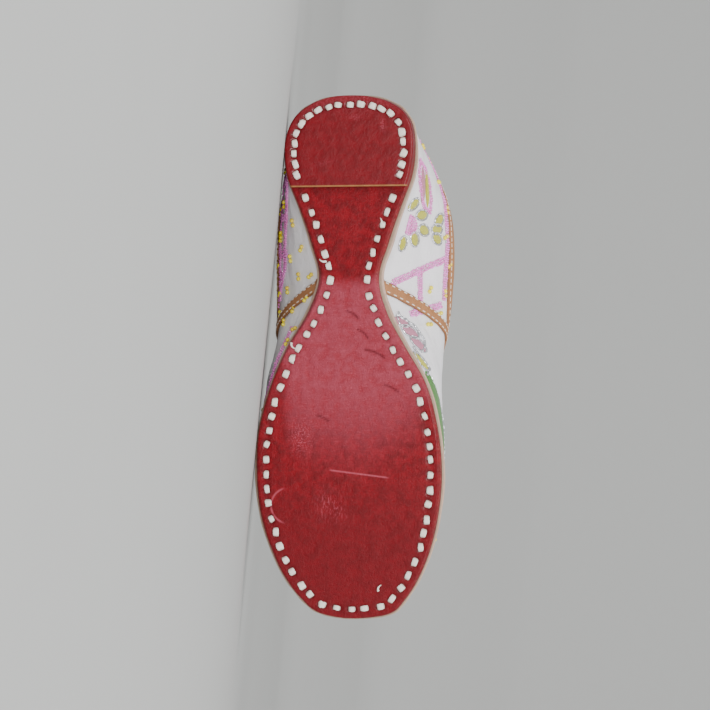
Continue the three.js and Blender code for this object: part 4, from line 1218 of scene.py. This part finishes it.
def axes_on(side, turn, angle, lift):
    """Places on the satin at spots of the wall, with the wall's axes: along, up and outward."""
    side, turn, angle = np.broadcast_arrays(np.asarray(side, float), np.atleast_1d(turn), np.atleast_1d(angle))
    point = skin(side, turn, angle, lift)
    along, up, normal = wall_axes(side, turn, angle)
    square = np.cross(normal, along)
    up = unit(square) * np.sign((square * up).sum(-1, keepdims=True))
    return point, along, up, normal


def put(bits, shape, place, axes, size, pick):
    """Adds one shape, turned to its axes. pick makes it lighter or darker than the next."""
    points, faces = shape
    bits.add(place + points @ (np.array(axes) * np.array(size)[:, None]), faces, pick=pick)


# Seed beads: how far they sit above the satin in radii, and how much their sizes differ
BEAD_SEAT, BEAD_SIZES = 0.55, (0.88, 1.1)


def beads(bits, side, spots, radius, rng):
    """Seed beads at spots of the wall, each with its hole turned a little its own way."""
    for place, along, up, normal in zip(*axes_on(side, *spots, radius * BEAD_SEAT)):
        tip = rng.normal(0, 0.35, 2)
        hole = unit(normal + along * tip[0] + up * tip[1])
        first = unit(np.cross(hole, up))
        put(bits, BALL, place, (first, np.cross(hole, first), hole),
            np.full(3, radius * rng.uniform(*BEAD_SIZES)), rng.uniform(0, 1))


def bead_band(bits, side, corners, radius, rng, where=chart, rows=3):
    """A band of seed beads, a few side by side."""
    place, _, _, normal = axes_on(side, *path_on(side, corners, radius * 2.0, where), radius * BEAD_SEAT)
    across = unit(np.cross(normal, np.gradient(place, axis=0)))
    for row in range(rows):
        for spot, out, level in zip(place, across, normal):
            shift = (row - (rows - 1) / 2) * radius * 1.95 + rng.normal(0, 0.16)
            tip = unit(level + rng.normal(0, 0.25, 3))
            first = unit(np.cross(tip, out))
            put(bits, BALL, spot + out * shift + level * rng.uniform(-0.1, 0.25),
                (first, np.cross(tip, first), tip), np.full(3, radius * rng.uniform(*BEAD_SIZES)),
                rng.uniform(0, 1))


def tubes(bits, ends, normals, radius, rng):
    """Bugle beads from each place to the next."""
    for start, stop, normal in zip(ends[:-1], ends[1:], normals[:-1]):
        way = unit(stop - start)
        across = unit(np.cross(normal, way))
        reach = np.linalg.norm(stop - start) / 2 * 0.9
        put(bits, TUBE, (start + stop) / 2, (way, across, np.cross(way, across)), (reach, radius, radius),
            rng.uniform(0, 1))


def tube_line(bits, side, corners, rng, length=2.85, radius=0.55):
    """Bugle beads end to end along a line on the wall."""
    place, _, _, normal = axes_on(side, *path_on(side, corners, length), radius * 0.6)
    tubes(bits, place, normal, radius, rng)


def pair(bits, side, along, out, rng, where=chart):
    """Two large seed beads sewn side by side."""
    radius = 1.15
    place, way, up, normal = (v[0] for v in axes_on(side, *where(side, along, out), radius * 0.6))
    swing = rng.uniform(0, math.pi)
    line = way * math.cos(swing) + up * math.sin(swing)
    for sign in (-1, 1):
        put(bits, BALL, place + line * radius * 1.02 * sign, (way, up, normal), np.full(3, radius),
            rng.uniform(0, 1))


def turned(u, v, way):
    """Two distances after a turn by the angle `way`."""
    return u * math.cos(way) - v * math.sin(way), u * math.sin(way) + v * math.cos(way)


def near_spot(side, along, out, offsets, lowest):
    """Turns and angles of the wall at offsets along and up it, in mm, from a place seen from below."""
    turn, angle = (float(v[0]) for v in chart(side, along, out))
    step = 1e-3
    here = last_point(side, turn, angle)
    per_turn = max(float(np.linalg.norm(last_point(side, turn + step, angle) - here)) / step, 1.0)
    per_angle = max(float(np.linalg.norm(last_point(side, turn, angle + step) - here)) / step, 1.0)
    return (np.clip(turn + offsets[0] / per_turn, 0.001, 0.999),
            np.clip(angle + offsets[1] / per_angle, lowest, TOP))


def petal_rim(bits, side, along, out, length, width, way, rng):
    """Silver bugle beads set around one petal."""
    phi = np.linspace(0, 2 * math.pi, 10)
    offsets = turned((length / 2 + 0.5) * np.cos(phi), (width / 2 + 0.5) * np.sin(phi), way)
    place, _, _, normal = axes_on(side, *near_spot(side, along, out, offsets, 0.02), 0.35)
    tubes(bits, place, normal, 0.42, rng)


def floss_patch(bits, spots_at, length, width, way, lift, rows=18, columns=11):
    """A raised patch of satin stitch that follows the wall, long in the direction `way`, which is 0
    towards the toe. spots_at gives side, turn and angle at offsets from its middle."""
    a, b = np.meshgrid(np.linspace(-1, 1, rows), np.linspace(-1, 1, columns), indexing="ij")
    u = a * length / 2
    v = b * (width / 2 * np.clip(1 - np.abs(a) ** 2.2, 0, 1) ** 0.75)
    spots = spots_at(turned(u, v, way))
    sunk = 0.1
    height = lift * np.sqrt(np.clip(1 - b ** 2, 0, 1)) * np.clip(1 - a ** 6, 0, 1) - sunk
    points = np.vstack([skin(*spots, level).reshape(-1, 3) for level in (height, np.full(a.shape, -sunk))])
    quads = grid_quads(rows, columns)
    quads = np.vstack([quads, quads[:, ::-1] + rows * columns])
    thread = np.tile(np.stack([u, b, 0 * u], -1).reshape(-1, 3), (2, 1))
    faces, first, _ = weld(points, quads)
    bits.add(points[first], faces, thread=thread[first])


def side_patch(bits, side, along, out, length, width, way, lift, rows=18):
    """A stitched patch on a side wall, at a place seen from below."""
    floss_patch(bits, lambda offsets: (side, *near_spot(side, along, out, offsets, 0.004)),
                length, width, way, lift, rows)


# The flower on top of the vamp: its place along the shoe and its petals
FLOWER_AT, PETALS = 184.0, 6
# Petals on the inner side in satin stitch, as (along, out, length, width, way)
LIME_PETALS = [
    (51.4, 30.4, 7.6, 4.6, 2.2), (56.2, 34.3, 7.6, 4.6, 1.6), (63.5, 35.2, 7.6, 4.6, 1.2),
    (68.3, 30.9, 7.6, 4.6, 0.6), (70.7, 25.1, 7, 4.2, 0.1), (57.7, 42, 7.6, 4.6, 2.2),
    (62.5, 41, 7.6, 4.6, 1.6), (67.3, 41, 7.6, 4.6, 1.1), (127, 34, 11, 4.4, 0.5),
]
BLUSH_PETALS = [
    (51, 46.3, 7, 3.6, 1.9), (57, 46.6, 7, 3.6, 1.6), (63, 46.6, 7, 3.6, 1.4), (68, 46.3, 7, 3.6, 1.1),
    (108, 24, 9, 5, 1.3), (113, 29, 10, 5.4, 1.1), (119, 33, 10, 5, 0.8),
]

# Yellow seed beads in twos, as (along, out) seen from below
YELLOW_OUTER = [
    (33, 32.3), (49.5, 31.4), (59.6, 26.5), (64.4, 32.8), (72.6, 22.7), (77, 28), (79.9, 34.3), (86.1, 24.1),
    (86.1, 18.3), (91.4, 35.2), (92.4, 29.9), (97.2, 20.5), (102, 26.8), (108.3, 31.4), (111.7, 23.6),
    (118, 28.5), (150.8, 42), (176.9, 44.9),
]
YELLOW_INNER = [(92.4, 38.1), (96.8, 26.5), (109.3, 37.6), (212.5, 39)]
# Yellow beads in twos higher up, as (along, share of the height)
YELLOW_HIGH = [(20, 0.55), (26, 0.8), (38, 0.68), (52, 0.84), (66, 0.74), (80, 0.86), (94, 0.76), (104, 0.6)]


def build_beadwork(sizes, colours):
    """All seed beads and bugle beads of the upper."""
    rng = np.random.default_rng(5)
    radius = sizes.bead_size / 2
    pink, yellow, silver = Bits(), Bits(), Bits()
    outer, inner = LATERAL, MEDIAL

    # outer quarter: a ladder of pink beads with three rungs
    bead_band(pink, outer, [(35.5, 34.7), (60, 36), (82.8, 36.7)], radius, rng)
    bead_band(pink, outer, [(35.5, 29.4), (60, 30.6), (82.8, 31.4), (100.6, 34.7)], radius, rng)
    for along in (39.3, 55.7, 74):
        bead_band(pink, outer, [(along, 29.9), (along + 0.6, 35.6)], radius, rng)
    beads(pink, outer, chart(outer, (85, 86.4, 87.4, 86), (35, 36.6, 35.2, 33.9)), radius * 1.1, rng)
    # outer vamp: a double band that climbs away from the sole
    bead_band(pink, outer, [(110.8, 27.4), (128, 34.8), (148.9, 41)], radius, rng)
    for along, out in YELLOW_OUTER:
        pair(yellow, outer, along, out, rng)

    # inner quarter: drop, two flowers, band and lattice
    drop = [(29.7, 33.3), (33, 35.6), (40, 38), (48, 38.8), (54.8, 38.1), (52, 35), (44, 33.6), (36, 32.8),
            (29.7, 33.3)]
    bead_band(pink, inner, drop, radius * 0.95, rng, rows=2)
    for ring, count in ((0.4, 2), (1.5, 8), (2.6, 13), (3.7, 18), (4.7, 23)):
        phi = 2 * math.pi * np.arange(count) / count + ring
        spots = chart(inner, 61.5 + ring * np.sin(phi), 28.2 + 0.72 * ring * np.cos(phi))
        beads(pink, inner, spots, radius, rng)
    bead_band(pink, inner, [(77, 44.9), (84, 32), (91.4, 16.9)], radius, rng)
    bead_band(pink, inner, [(83.7, 33.3), (99.7, 33.3)], radius, rng)
    bead_band(pink, inner, [(99.7, 43), (104.5, 29)], radius, rng)
    near_toe = (203.4, 205, 201.8, 211.6, 213, 212.4), (43.4, 42.6, 43.8, 40.5, 41.2, 39.4)
    beads(pink, inner, chart(inner, *near_toe), radius, rng)
    for along, out in YELLOW_INNER:
        pair(yellow, inner, along, out, rng)

    # silver outlines of the petals and the vein of the leaf
    for petal in LIME_PETALS + BLUSH_PETALS:
        petal_rim(silver, inner, *petal, rng)
    tube_line(silver, inner, [(103.2, 19.8), (106, 24), (110, 31), (118, 36), (123, 34)], rng)
    tube_line(silver, inner, [(120, 30), (124, 33), (131, 38), (134, 36)], rng)
    tube_line(silver, inner, [(134, 38.5), (146, 42.4), (160, 45), (174, 46)], rng, length=2.6, radius=0.42)

    # higher up on both quarters, out of the photograph's sight: the same ladder and seeds
    for side in (outer, inner):
        bead_band(pink, side, [(16, 0.62), (40, 0.76), (70, 0.8), (97, 0.74)], radius, rng, by_share)
        for along, up in YELLOW_HIGH:
            pair(yellow, side, along, up, rng, where=by_share)

    # on top of the vamp: a flower with silver around its petals, and a curl of pink on each side
    around = 2 * math.pi * np.arange(15) / 15
    top_beads(pink, FLOWER_AT + 3.0 * np.cos(around), 3.0 * np.sin(around), radius * 1.05, rng)
    heart = np.array([(0, 0), (1.2, 0.6), (-0.8, 1.1), (-0.6, -1.2), (1.0, -1.0)])
    top_beads(yellow, FLOWER_AT + heart[:, 0], heart[:, 1], radius, rng)
    s = np.linspace(0.15, 1, 6)
    for k in range(PETALS):
        phi = 2 * math.pi * (k + 0.5) / PETALS
        for edge in (-1, 1):
            r = 4.6 + 12.6 * s
            wide = 4.4 * np.sin(math.pi * np.minimum(s, 0.98)) ** 0.7 * edge
            x, y = turned(r, wide, phi)
            place, _, _, normal = axes_on(*spots_on_top(FLOWER_AT + x, y), 0.35)
            tubes(silver, place, normal, 0.5, rng)
    s = np.linspace(0, 1, 44)
    r = 6.5 * (1 - 0.62 * s)
    for sign in (-1, 1):
        top_beads(pink, FLOWER_AT + 24 + 5 * s + r * np.cos(0.2 + 3.6 * s),
                  sign * (15 + r * np.sin(0.2 + 3.6 * s)), radius * 0.95, rng)
    pink.make("beads_pink", "embroidered_satin", bead_glass("pink_seed_beads", colours.pink))
    yellow.make("beads_yellow", "embroidered_satin", bead_glass("yellow_seed_beads", colours.yellow))
    silver.make("beads_silver", "embroidered_satin", bead_glass("silver_bugle_beads", colours.silver, 0.75), 40)


def spots_on_top(x, y):
    """Side, turn and angle of the vamp's surface over places in the plan of the shoe."""
    x, y = np.broadcast_arrays(np.asarray(x, float), y)
    side = np.where(y >= 0, LATERAL, MEDIAL)
    turns, angles = np.meshgrid(np.linspace(TIP_TURN, 0.995, 60), np.linspace(0.05, TOP - 0.004, 60),
                                indexing="ij")
    turn, angle = np.zeros(x.shape), np.zeros(x.shape)
    for which in (LATERAL, MEDIAL):
        points = last_point(which, turns, angles).reshape(-1, 3)
        here = side == which
        if here.any():
            far = np.hypot(points[:, 0] - x[here][:, None], points[:, 1] - y[here][:, None])
            turn[here] = turns.ravel()[far.argmin(1)]
            angle[here] = angles.ravel()[far.argmin(1)]
    step = 1e-3
    for _ in range(6):
        here = last_point(side, turn, angle)
        a = (last_point(side, turn + step, angle) - here) / step
        b = (here - last_point(side, turn, angle - step)) / step
        miss_x, miss_y = x - here[..., 0], y - here[..., 1]
        area = a[..., 0] * b[..., 1] - a[..., 1] * b[..., 0]
        area = np.where(np.abs(area) < 1, 1, area)
        move = (miss_x * b[..., 1] - miss_y * b[..., 0]) / area
        swing = (a[..., 0] * miss_y - a[..., 1] * miss_x) / area
        turn = np.clip(turn + np.clip(move, -0.02, 0.02), 0.3, 0.999)
        angle = np.clip(angle + np.clip(swing, -0.05, 0.05), 0.02, TOP - 0.002)
    return side, turn, angle


def top_beads(bits, x, y, radius, rng):
    """Seed beads on top of the vamp, at places in the plan of the shoe."""
    side, *spots = spots_on_top(x, y)
    beads(bits, side, spots, radius, rng)


def top_patch(bits, x, y, length, width, way, lift):
    """A stitched patch on top of the vamp, at a place in the plan of the shoe."""
    floss_patch(bits, lambda offsets: spots_on_top(x + offsets[0], y + offsets[1]),
                length, width, way, lift, 22, 9)


def build_embroidery(colours):
    """Petals, the drop and the leaves in satin stitch."""
    lime, blush, green = Bits(), Bits(), Bits()
    for petal in LIME_PETALS:
        side_patch(lime, MEDIAL, *petal, 0.7)
    side_patch(lime, MEDIAL, 42.5, 36.9, 19, 3.6, 0.1, 1.0)
    side_patch(blush, MEDIAL, 41.5, 34.9, 19, 4.4, 0.12, 0.8)
    for petal in BLUSH_PETALS:
        side_patch(blush, MEDIAL, *petal, 0.65)
    side_patch(green, MEDIAL, 153, 42.6, 44, 8.5, 0.09, 0.95, rows=44)
    for k in range(PETALS):
        phi = 2 * math.pi * (k + 0.5) / PETALS
        top_patch(lime, FLOWER_AT + 10.9 * math.cos(phi), 10.9 * math.sin(phi), 12.4, 6.6, phi, 0.7)
    for sign in (-1, 1):
        top_patch(green, FLOWER_AT + 3, sign * 30, 24, 8, sign * 0.35, 0.85)
        top_patch(blush, FLOWER_AT + 27, sign * 9, 11, 4.4, sign * -0.6, 0.65)
    for bits, name, floss, colour, shade in ((lime, "petals_lime", "lime_floss", colours.lime, 0.55),
                                             (blush, "petals_pink", "pink_floss", colours.blush, 0.62),
                                             (green, "leaves_green", "green_floss", colours.leaf, 0.5)):
        bits.make(name, "embroidered_satin", stitched_thread(floss, colour, tint(colour, shade)))


def build_seams(colours):
    """Pale machine stitches along the bindings and both edges of the side bands."""
    rng = np.random.default_rng(8)
    bits = Bits()

    def sew(sides, spots, out, length, width):
        """A row of stitches through spots of the wall."""
        place = wall_point(sides, *spots, out)
        normal = wall_axes(sides, *spots)[2]
        for spot, way, level in zip(place, unit(np.gradient(place, axis=0)), normal):
            across = unit(np.cross(level, way))
            put(bits, TUBE, spot, (way, across, np.cross(way, across)), (length / 2, width, width * 0.7),
                rng.uniform(0, 1))

    for side in (LATERAL, MEDIAL):
        for start, stop, count in ((0.0, 0.955, 58), (1.06, 1.99, 24)):
            sides = np.full(count, side)
            sew(sides, edge_at(sides, np.linspace(start, stop, count), np.full(count, 3.6)), 1.38, 1.9, 0.24)
        for across in (-1.9, 1.9):
            rows = np.linspace(0.05, 0.93, 17)
            sides = np.full(rows.shape, side)
            sew(sides, band_place(sides, rows, np.full(rows.shape, across)), 1.36, 1.7, 0.26)
    bits.make("binding_stitches", "tan_leather", plain_thread("pale_thread", colours.lace))


# ---------------------------------------------------------------- stage

# Distance of the camera and its height over the floor in metres, and the share of the picture's
# height that the shoe takes in the photograph, in pixels
CAMERA_RANGE, CAMERA_HEIGHT = 0.8, 0.0095
SHOE_IN_PHOTO = 518 / 710
SENSOR = 36.0
# What the camera looks at, in the shoe's millimetres
VIEW_CENTRE = (124.0, -1.5, 12.0)
# Depth and height of the floor in metres: level, then swept up into a wall far behind the shoe
FLOOR_PROFILE = [(-3.0, 0.0), (0.7, 0.0), (1.05, 0.04), (1.35, 0.16), (1.6, 0.4), (1.75, 0.8), (1.8, 1.5),
                 (1.8, 4.0)]
FLOOR_HALF = 4.0
# Soft lights: place and width in metres, and how much gloss they add
LIGHTS = {"key": ((-1.0, -2.2, 1.8), 1.6, 0.8), "fill": ((1.5, -2.0, 1.1), 1.6, 0.8),
          "top": ((0.2, 0.2, 2.4), 1.6, 0.8), "low": ((0.0, -1.5, 0.16), 0.3, 0.35)}


def build_camera():
    """Looks at the tread from low over the floor, rolled so that the heel is on top."""
    centre = SHOE_ORIGIN + MM * np.array(VIEW_CENTRE) @ SHOE_AXES
    drop = min(0.3, (centre[2] - CAMERA_HEIGHT) / CAMERA_RANGE)
    forward = np.array([0.0, math.sqrt(1 - drop * drop), drop])
    down = unit(SHOE_ALONG - forward * SHOE_ALONG.dot(forward))
    up, back, place = -down, -forward, centre - forward * CAMERA_RANGE
    data = bpy.data.cameras.new("photo_view")
    data.sensor_width = SENSOR
    data.lens = SENSOR * SHOE_IN_PHOTO * CAMERA_RANGE / (LENGTH * MM)
    data.clip_start = 0.005
    camera = bpy.data.objects.new("photo_view", data)
    turned_view = np.eye(4)
    turned_view[:3] = np.stack([np.cross(up, back), up, back, place], 1)
    camera.matrix_world = Matrix(turned_view.tolist())
    bpy.context.scene.collection.objects.link(camera)
    bpy.context.scene.camera = camera


def build_floor(colour):
    """One sheet of pale, matt floor."""
    f = Finish("pale_floor")
    place = f.node("ShaderNodeNewGeometry").outputs["Position"]
    grain = f.noise(place, 60.0, 3, 0.6)
    f.bump(grain, 0.04, 0.3)
    finish = f.finish(f.mix(grain, tint(colour, 0.985), tint(colour, 1.015)), 0.85 + grain * 0.1)
    fine = np.linspace(0, 1, 60)
    ys, zs = (np.interp(fine, np.linspace(0, 1, len(FLOOR_PROFILE)), column) for column in zip(*FLOOR_PROFILE))
    points = [(x, y, z) for y, z in zip(ys, zs) for x in (-FLOOR_HALF, FLOOR_HALF)]
    faces = [(2 * i, 2 * i + 1, 2 * i + 3, 2 * i + 2) for i in range(len(fine) - 1)]
    mesh = bpy.data.meshes.new("floor")
    mesh.from_pydata(points, [], faces)
    mesh.polygons.foreach_set("use_smooth", np.ones(len(faces), bool))
    mesh.materials.append(finish)
    floor = bpy.data.objects.new("floor", mesh)
    bpy.context.scene.collection.objects.link(floor)


def build_stage(stage):
    """The camera, the floor and the soft lights."""
    build_camera()
    build_floor(stage.floor_colour)
    aim = Vector((0, 0, 0.04))
    for name, (place, width, gloss) in LIGHTS.items():
        data = bpy.data.lights.new(name, "AREA")
        data.shape = "DISK"
        data.size = width
        data.energy = getattr(stage, name + "_power")
        data.specular_factor = gloss
        light = bpy.data.objects.new(name, data)
        light.location = place
        light.rotation_euler = (aim - Vector(place)).to_track_quat("-Z", "Y").to_euler()
        bpy.context.scene.collection.objects.link(light)
    world = bpy.data.worlds.new("soft_room")
    world.use_nodes = True
    background = world.node_tree.nodes["Background"]
    background.inputs["Color"].default_value = (1, 1, 1, 1)
    background.inputs["Strength"].default_value = stage.room_light
    bpy.context.scene.world = world


# ---------------------------------------------------------------- add-on

def size_property(name, description, default, low, high):
    return FloatProperty(name=name, description=description, default=default, min=low, max=high)


def power_property(name, description, default):
    return FloatProperty(name=name, description=description, default=default, min=0.0, unit="POWER")


def colour_property(name, description, default):
    return FloatVectorProperty(name=name, description=description, default=default, subtype="COLOR", size=3,
                               min=0.0, max=1.0)


class SlipperColours(bpy.types.PropertyGroup):
    """Colours of the slipper's finishes"""
    sole: colour_property("Sole", "Dyed red leather of the sole", (0.2, 0.0006, 0.006))
    scuff: colour_property("Scuffs", "Where the red dye is rubbed off", (0.38, 0.062, 0.092))
    bare_edge: colour_property("Cut edge", "Undyed leather at the edge of the sole", (0.62, 0.42, 0.32))
    satin: colour_property("Satin", "Cloth of the upper", (0.92, 0.895, 0.925))
    lining: colour_property("Lining", "Leather inside the upper", (0.48, 0.27, 0.13))
    tan: colour_property("Bindings", "Thin leather over the edges", (0.37, 0.155, 0.055))
    lace: colour_property("Lace", "Lace and thread of the seams", (0.90, 0.83, 0.74))
    pink: colour_property("Pink beads", "Seed beads in rows", (1.0, 0.25, 0.68))
    yellow: colour_property("Yellow beads", "Seed beads in twos", (1.0, 0.72, 0.006))
    silver: colour_property("Silver beads", "Bugle beads around the petals", (0.62, 0.63, 0.66))
    lime: colour_property("Lime floss", "Petals", (0.98, 0.93, 0.045))
    blush: colour_property("Pink floss", "Pale petals and the drop", (0.95, 0.33, 0.5))
    leaf: colour_property("Green floss", "Leaves", (0.09, 0.40, 0.025))


class SlipperSizes(bpy.types.PropertyGroup):
    """Sizes of the slipper's small pieces, in millimetres"""
    stitch_length: size_property("Stitch length", "Length of a lace stitch in mm", 3.9, 1.0, 5.0)
    stitch_width: size_property("Stitch width", "Width of the lace in mm", 2.8, 0.8, 4.0)
    bead_size: size_property("Bead size", "Width of a pink seed bead in mm", 1.2, 0.8, 3.0)


class SlipperStage(bpy.types.PropertyGroup):
    """Floor and lights around the slipper"""
    floor_colour: colour_property("Floor", "Colour of the plain floor", (0.46, 0.465, 0.455))
    key_power: power_property("Key light", "Power of the main light", 52.0)
    fill_power: power_property("Fill light", "Power of the second light", 34.0)
    top_power: power_property("Top light", "Power of the light above", 16.0)
    low_power: power_property("Low light", "Power of the light just above the floor", 9.0)
    room_light: size_property("Room light", "Strength of the even light", 0.55, 0.0, 2.0)


class SLIPPER_OT_sole(bpy.types.Operator):
    """Build the heel lift, the red sole and its undyed edge"""
    bl_idname = "slipper.sole"
    bl_label = "Sole"

    def execute(self, context):
        colours = context.scene.slipper_colours
        build_heel_lift(colours)
        build_outsole(colours)
        build_midsole(colours)
        return {"FINISHED"}


class SLIPPER_OT_lace(bpy.types.Operator):
    """Sew the lace stitches of the sole"""
    bl_idname = "slipper.lace"
    bl_label = "Lace stitches"

    def execute(self, context):
        build_lace(context.scene.slipper_sizes, context.scene.slipper_colours)
        return {"FINISHED"}


class SLIPPER_OT_upper(bpy.types.Operator):
    """Build the satin upper with its lining, and the insole"""
    bl_idname = "slipper.upper"
    bl_label = "Upper and insole"

    def execute(self, context):
        build_upper(context.scene.slipper_colours)
        build_insole(context.scene.slipper_colours)
        return {"FINISHED"}


class SLIPPER_OT_bindings(bpy.types.Operator):
    """Fold the tan bindings over the edges and sew them"""
    bl_idname = "slipper.bindings"
    bl_label = "Bindings"

    def execute(self, context):
        build_bindings(context.scene.slipper_colours)
        build_seams(context.scene.slipper_colours)
        return {"FINISHED"}


class SLIPPER_OT_beadwork(bpy.types.Operator):
    """Sew on the beads"""
    bl_idname = "slipper.beadwork"
    bl_label = "Beads"

    def execute(self, context):
        build_beadwork(context.scene.slipper_sizes, context.scene.slipper_colours)
        return {"FINISHED"}


class SLIPPER_OT_embroidery(bpy.types.Operator):
    """Stitch the petals, the drop and the leaves"""
    bl_idname = "slipper.embroidery"
    bl_label = "Embroidery"

    def execute(self, context):
        build_embroidery(context.scene.slipper_colours)
        return {"FINISHED"}


class SLIPPER_OT_stage(bpy.types.Operator):
    """Set up the floor, the lights and the camera"""
    bl_idname = "slipper.stage"
    bl_label = "Floor, lights and camera"

    def execute(self, context):
        build_stage(context.scene.slipper_stage)
        return {"FINISHED"}


class SLIPPER_PT_panel(bpy.types.Panel):
    """The slipper's steps, sizes and colours"""
    bl_idname = "SLIPPER_PT_panel"
    bl_label = "Slipper"
    bl_space_type = "VIEW_3D"
    bl_region_type = "UI"
    bl_category = "Slipper"

    def draw(self, context):
        scene = context.scene
        for operator in OPERATORS:
            self.layout.operator(operator.bl_idname)
        for group in (scene.slipper_sizes, scene.slipper_colours, scene.slipper_stage):
            box = self.layout.box()
            for key in group.bl_rna.properties.keys():
                if key not in ("rna_type", "name"):
                    box.prop(group, key)


OPERATORS = (SLIPPER_OT_stage, SLIPPER_OT_sole, SLIPPER_OT_lace, SLIPPER_OT_upper, SLIPPER_OT_bindings,
             SLIPPER_OT_beadwork, SLIPPER_OT_embroidery)
GROUPS = (("slipper_colours", SlipperColours), ("slipper_sizes", SlipperSizes), ("slipper_stage", SlipperStage))


def register():
    for _, group in GROUPS:
        bpy.utils.register_class(group)
    for operator in OPERATORS:
        bpy.utils.register_class(operator)
    bpy.utils.register_class(SLIPPER_PT_panel)
    for name, group in GROUPS:
        setattr(bpy.types.Scene, name, PointerProperty(type=group))


def unregister():
    for name, group in GROUPS:
        delattr(bpy.types.Scene, name)
    bpy.utils.unregister_class(SLIPPER_PT_panel)
    for operator in OPERATORS:
        bpy.utils.unregister_class(operator)
    for _, group in GROUPS:
        bpy.utils.unregister_class(group)


def main():
    register()
    bpy.ops.slipper.stage()
    bpy.ops.slipper.sole()
    bpy.ops.slipper.lace()
    bpy.ops.slipper.upper()
    bpy.ops.slipper.bindings()
    bpy.ops.slipper.beadwork()
    bpy.ops.slipper.embroidery()


if __name__ == "__main__":
    main()
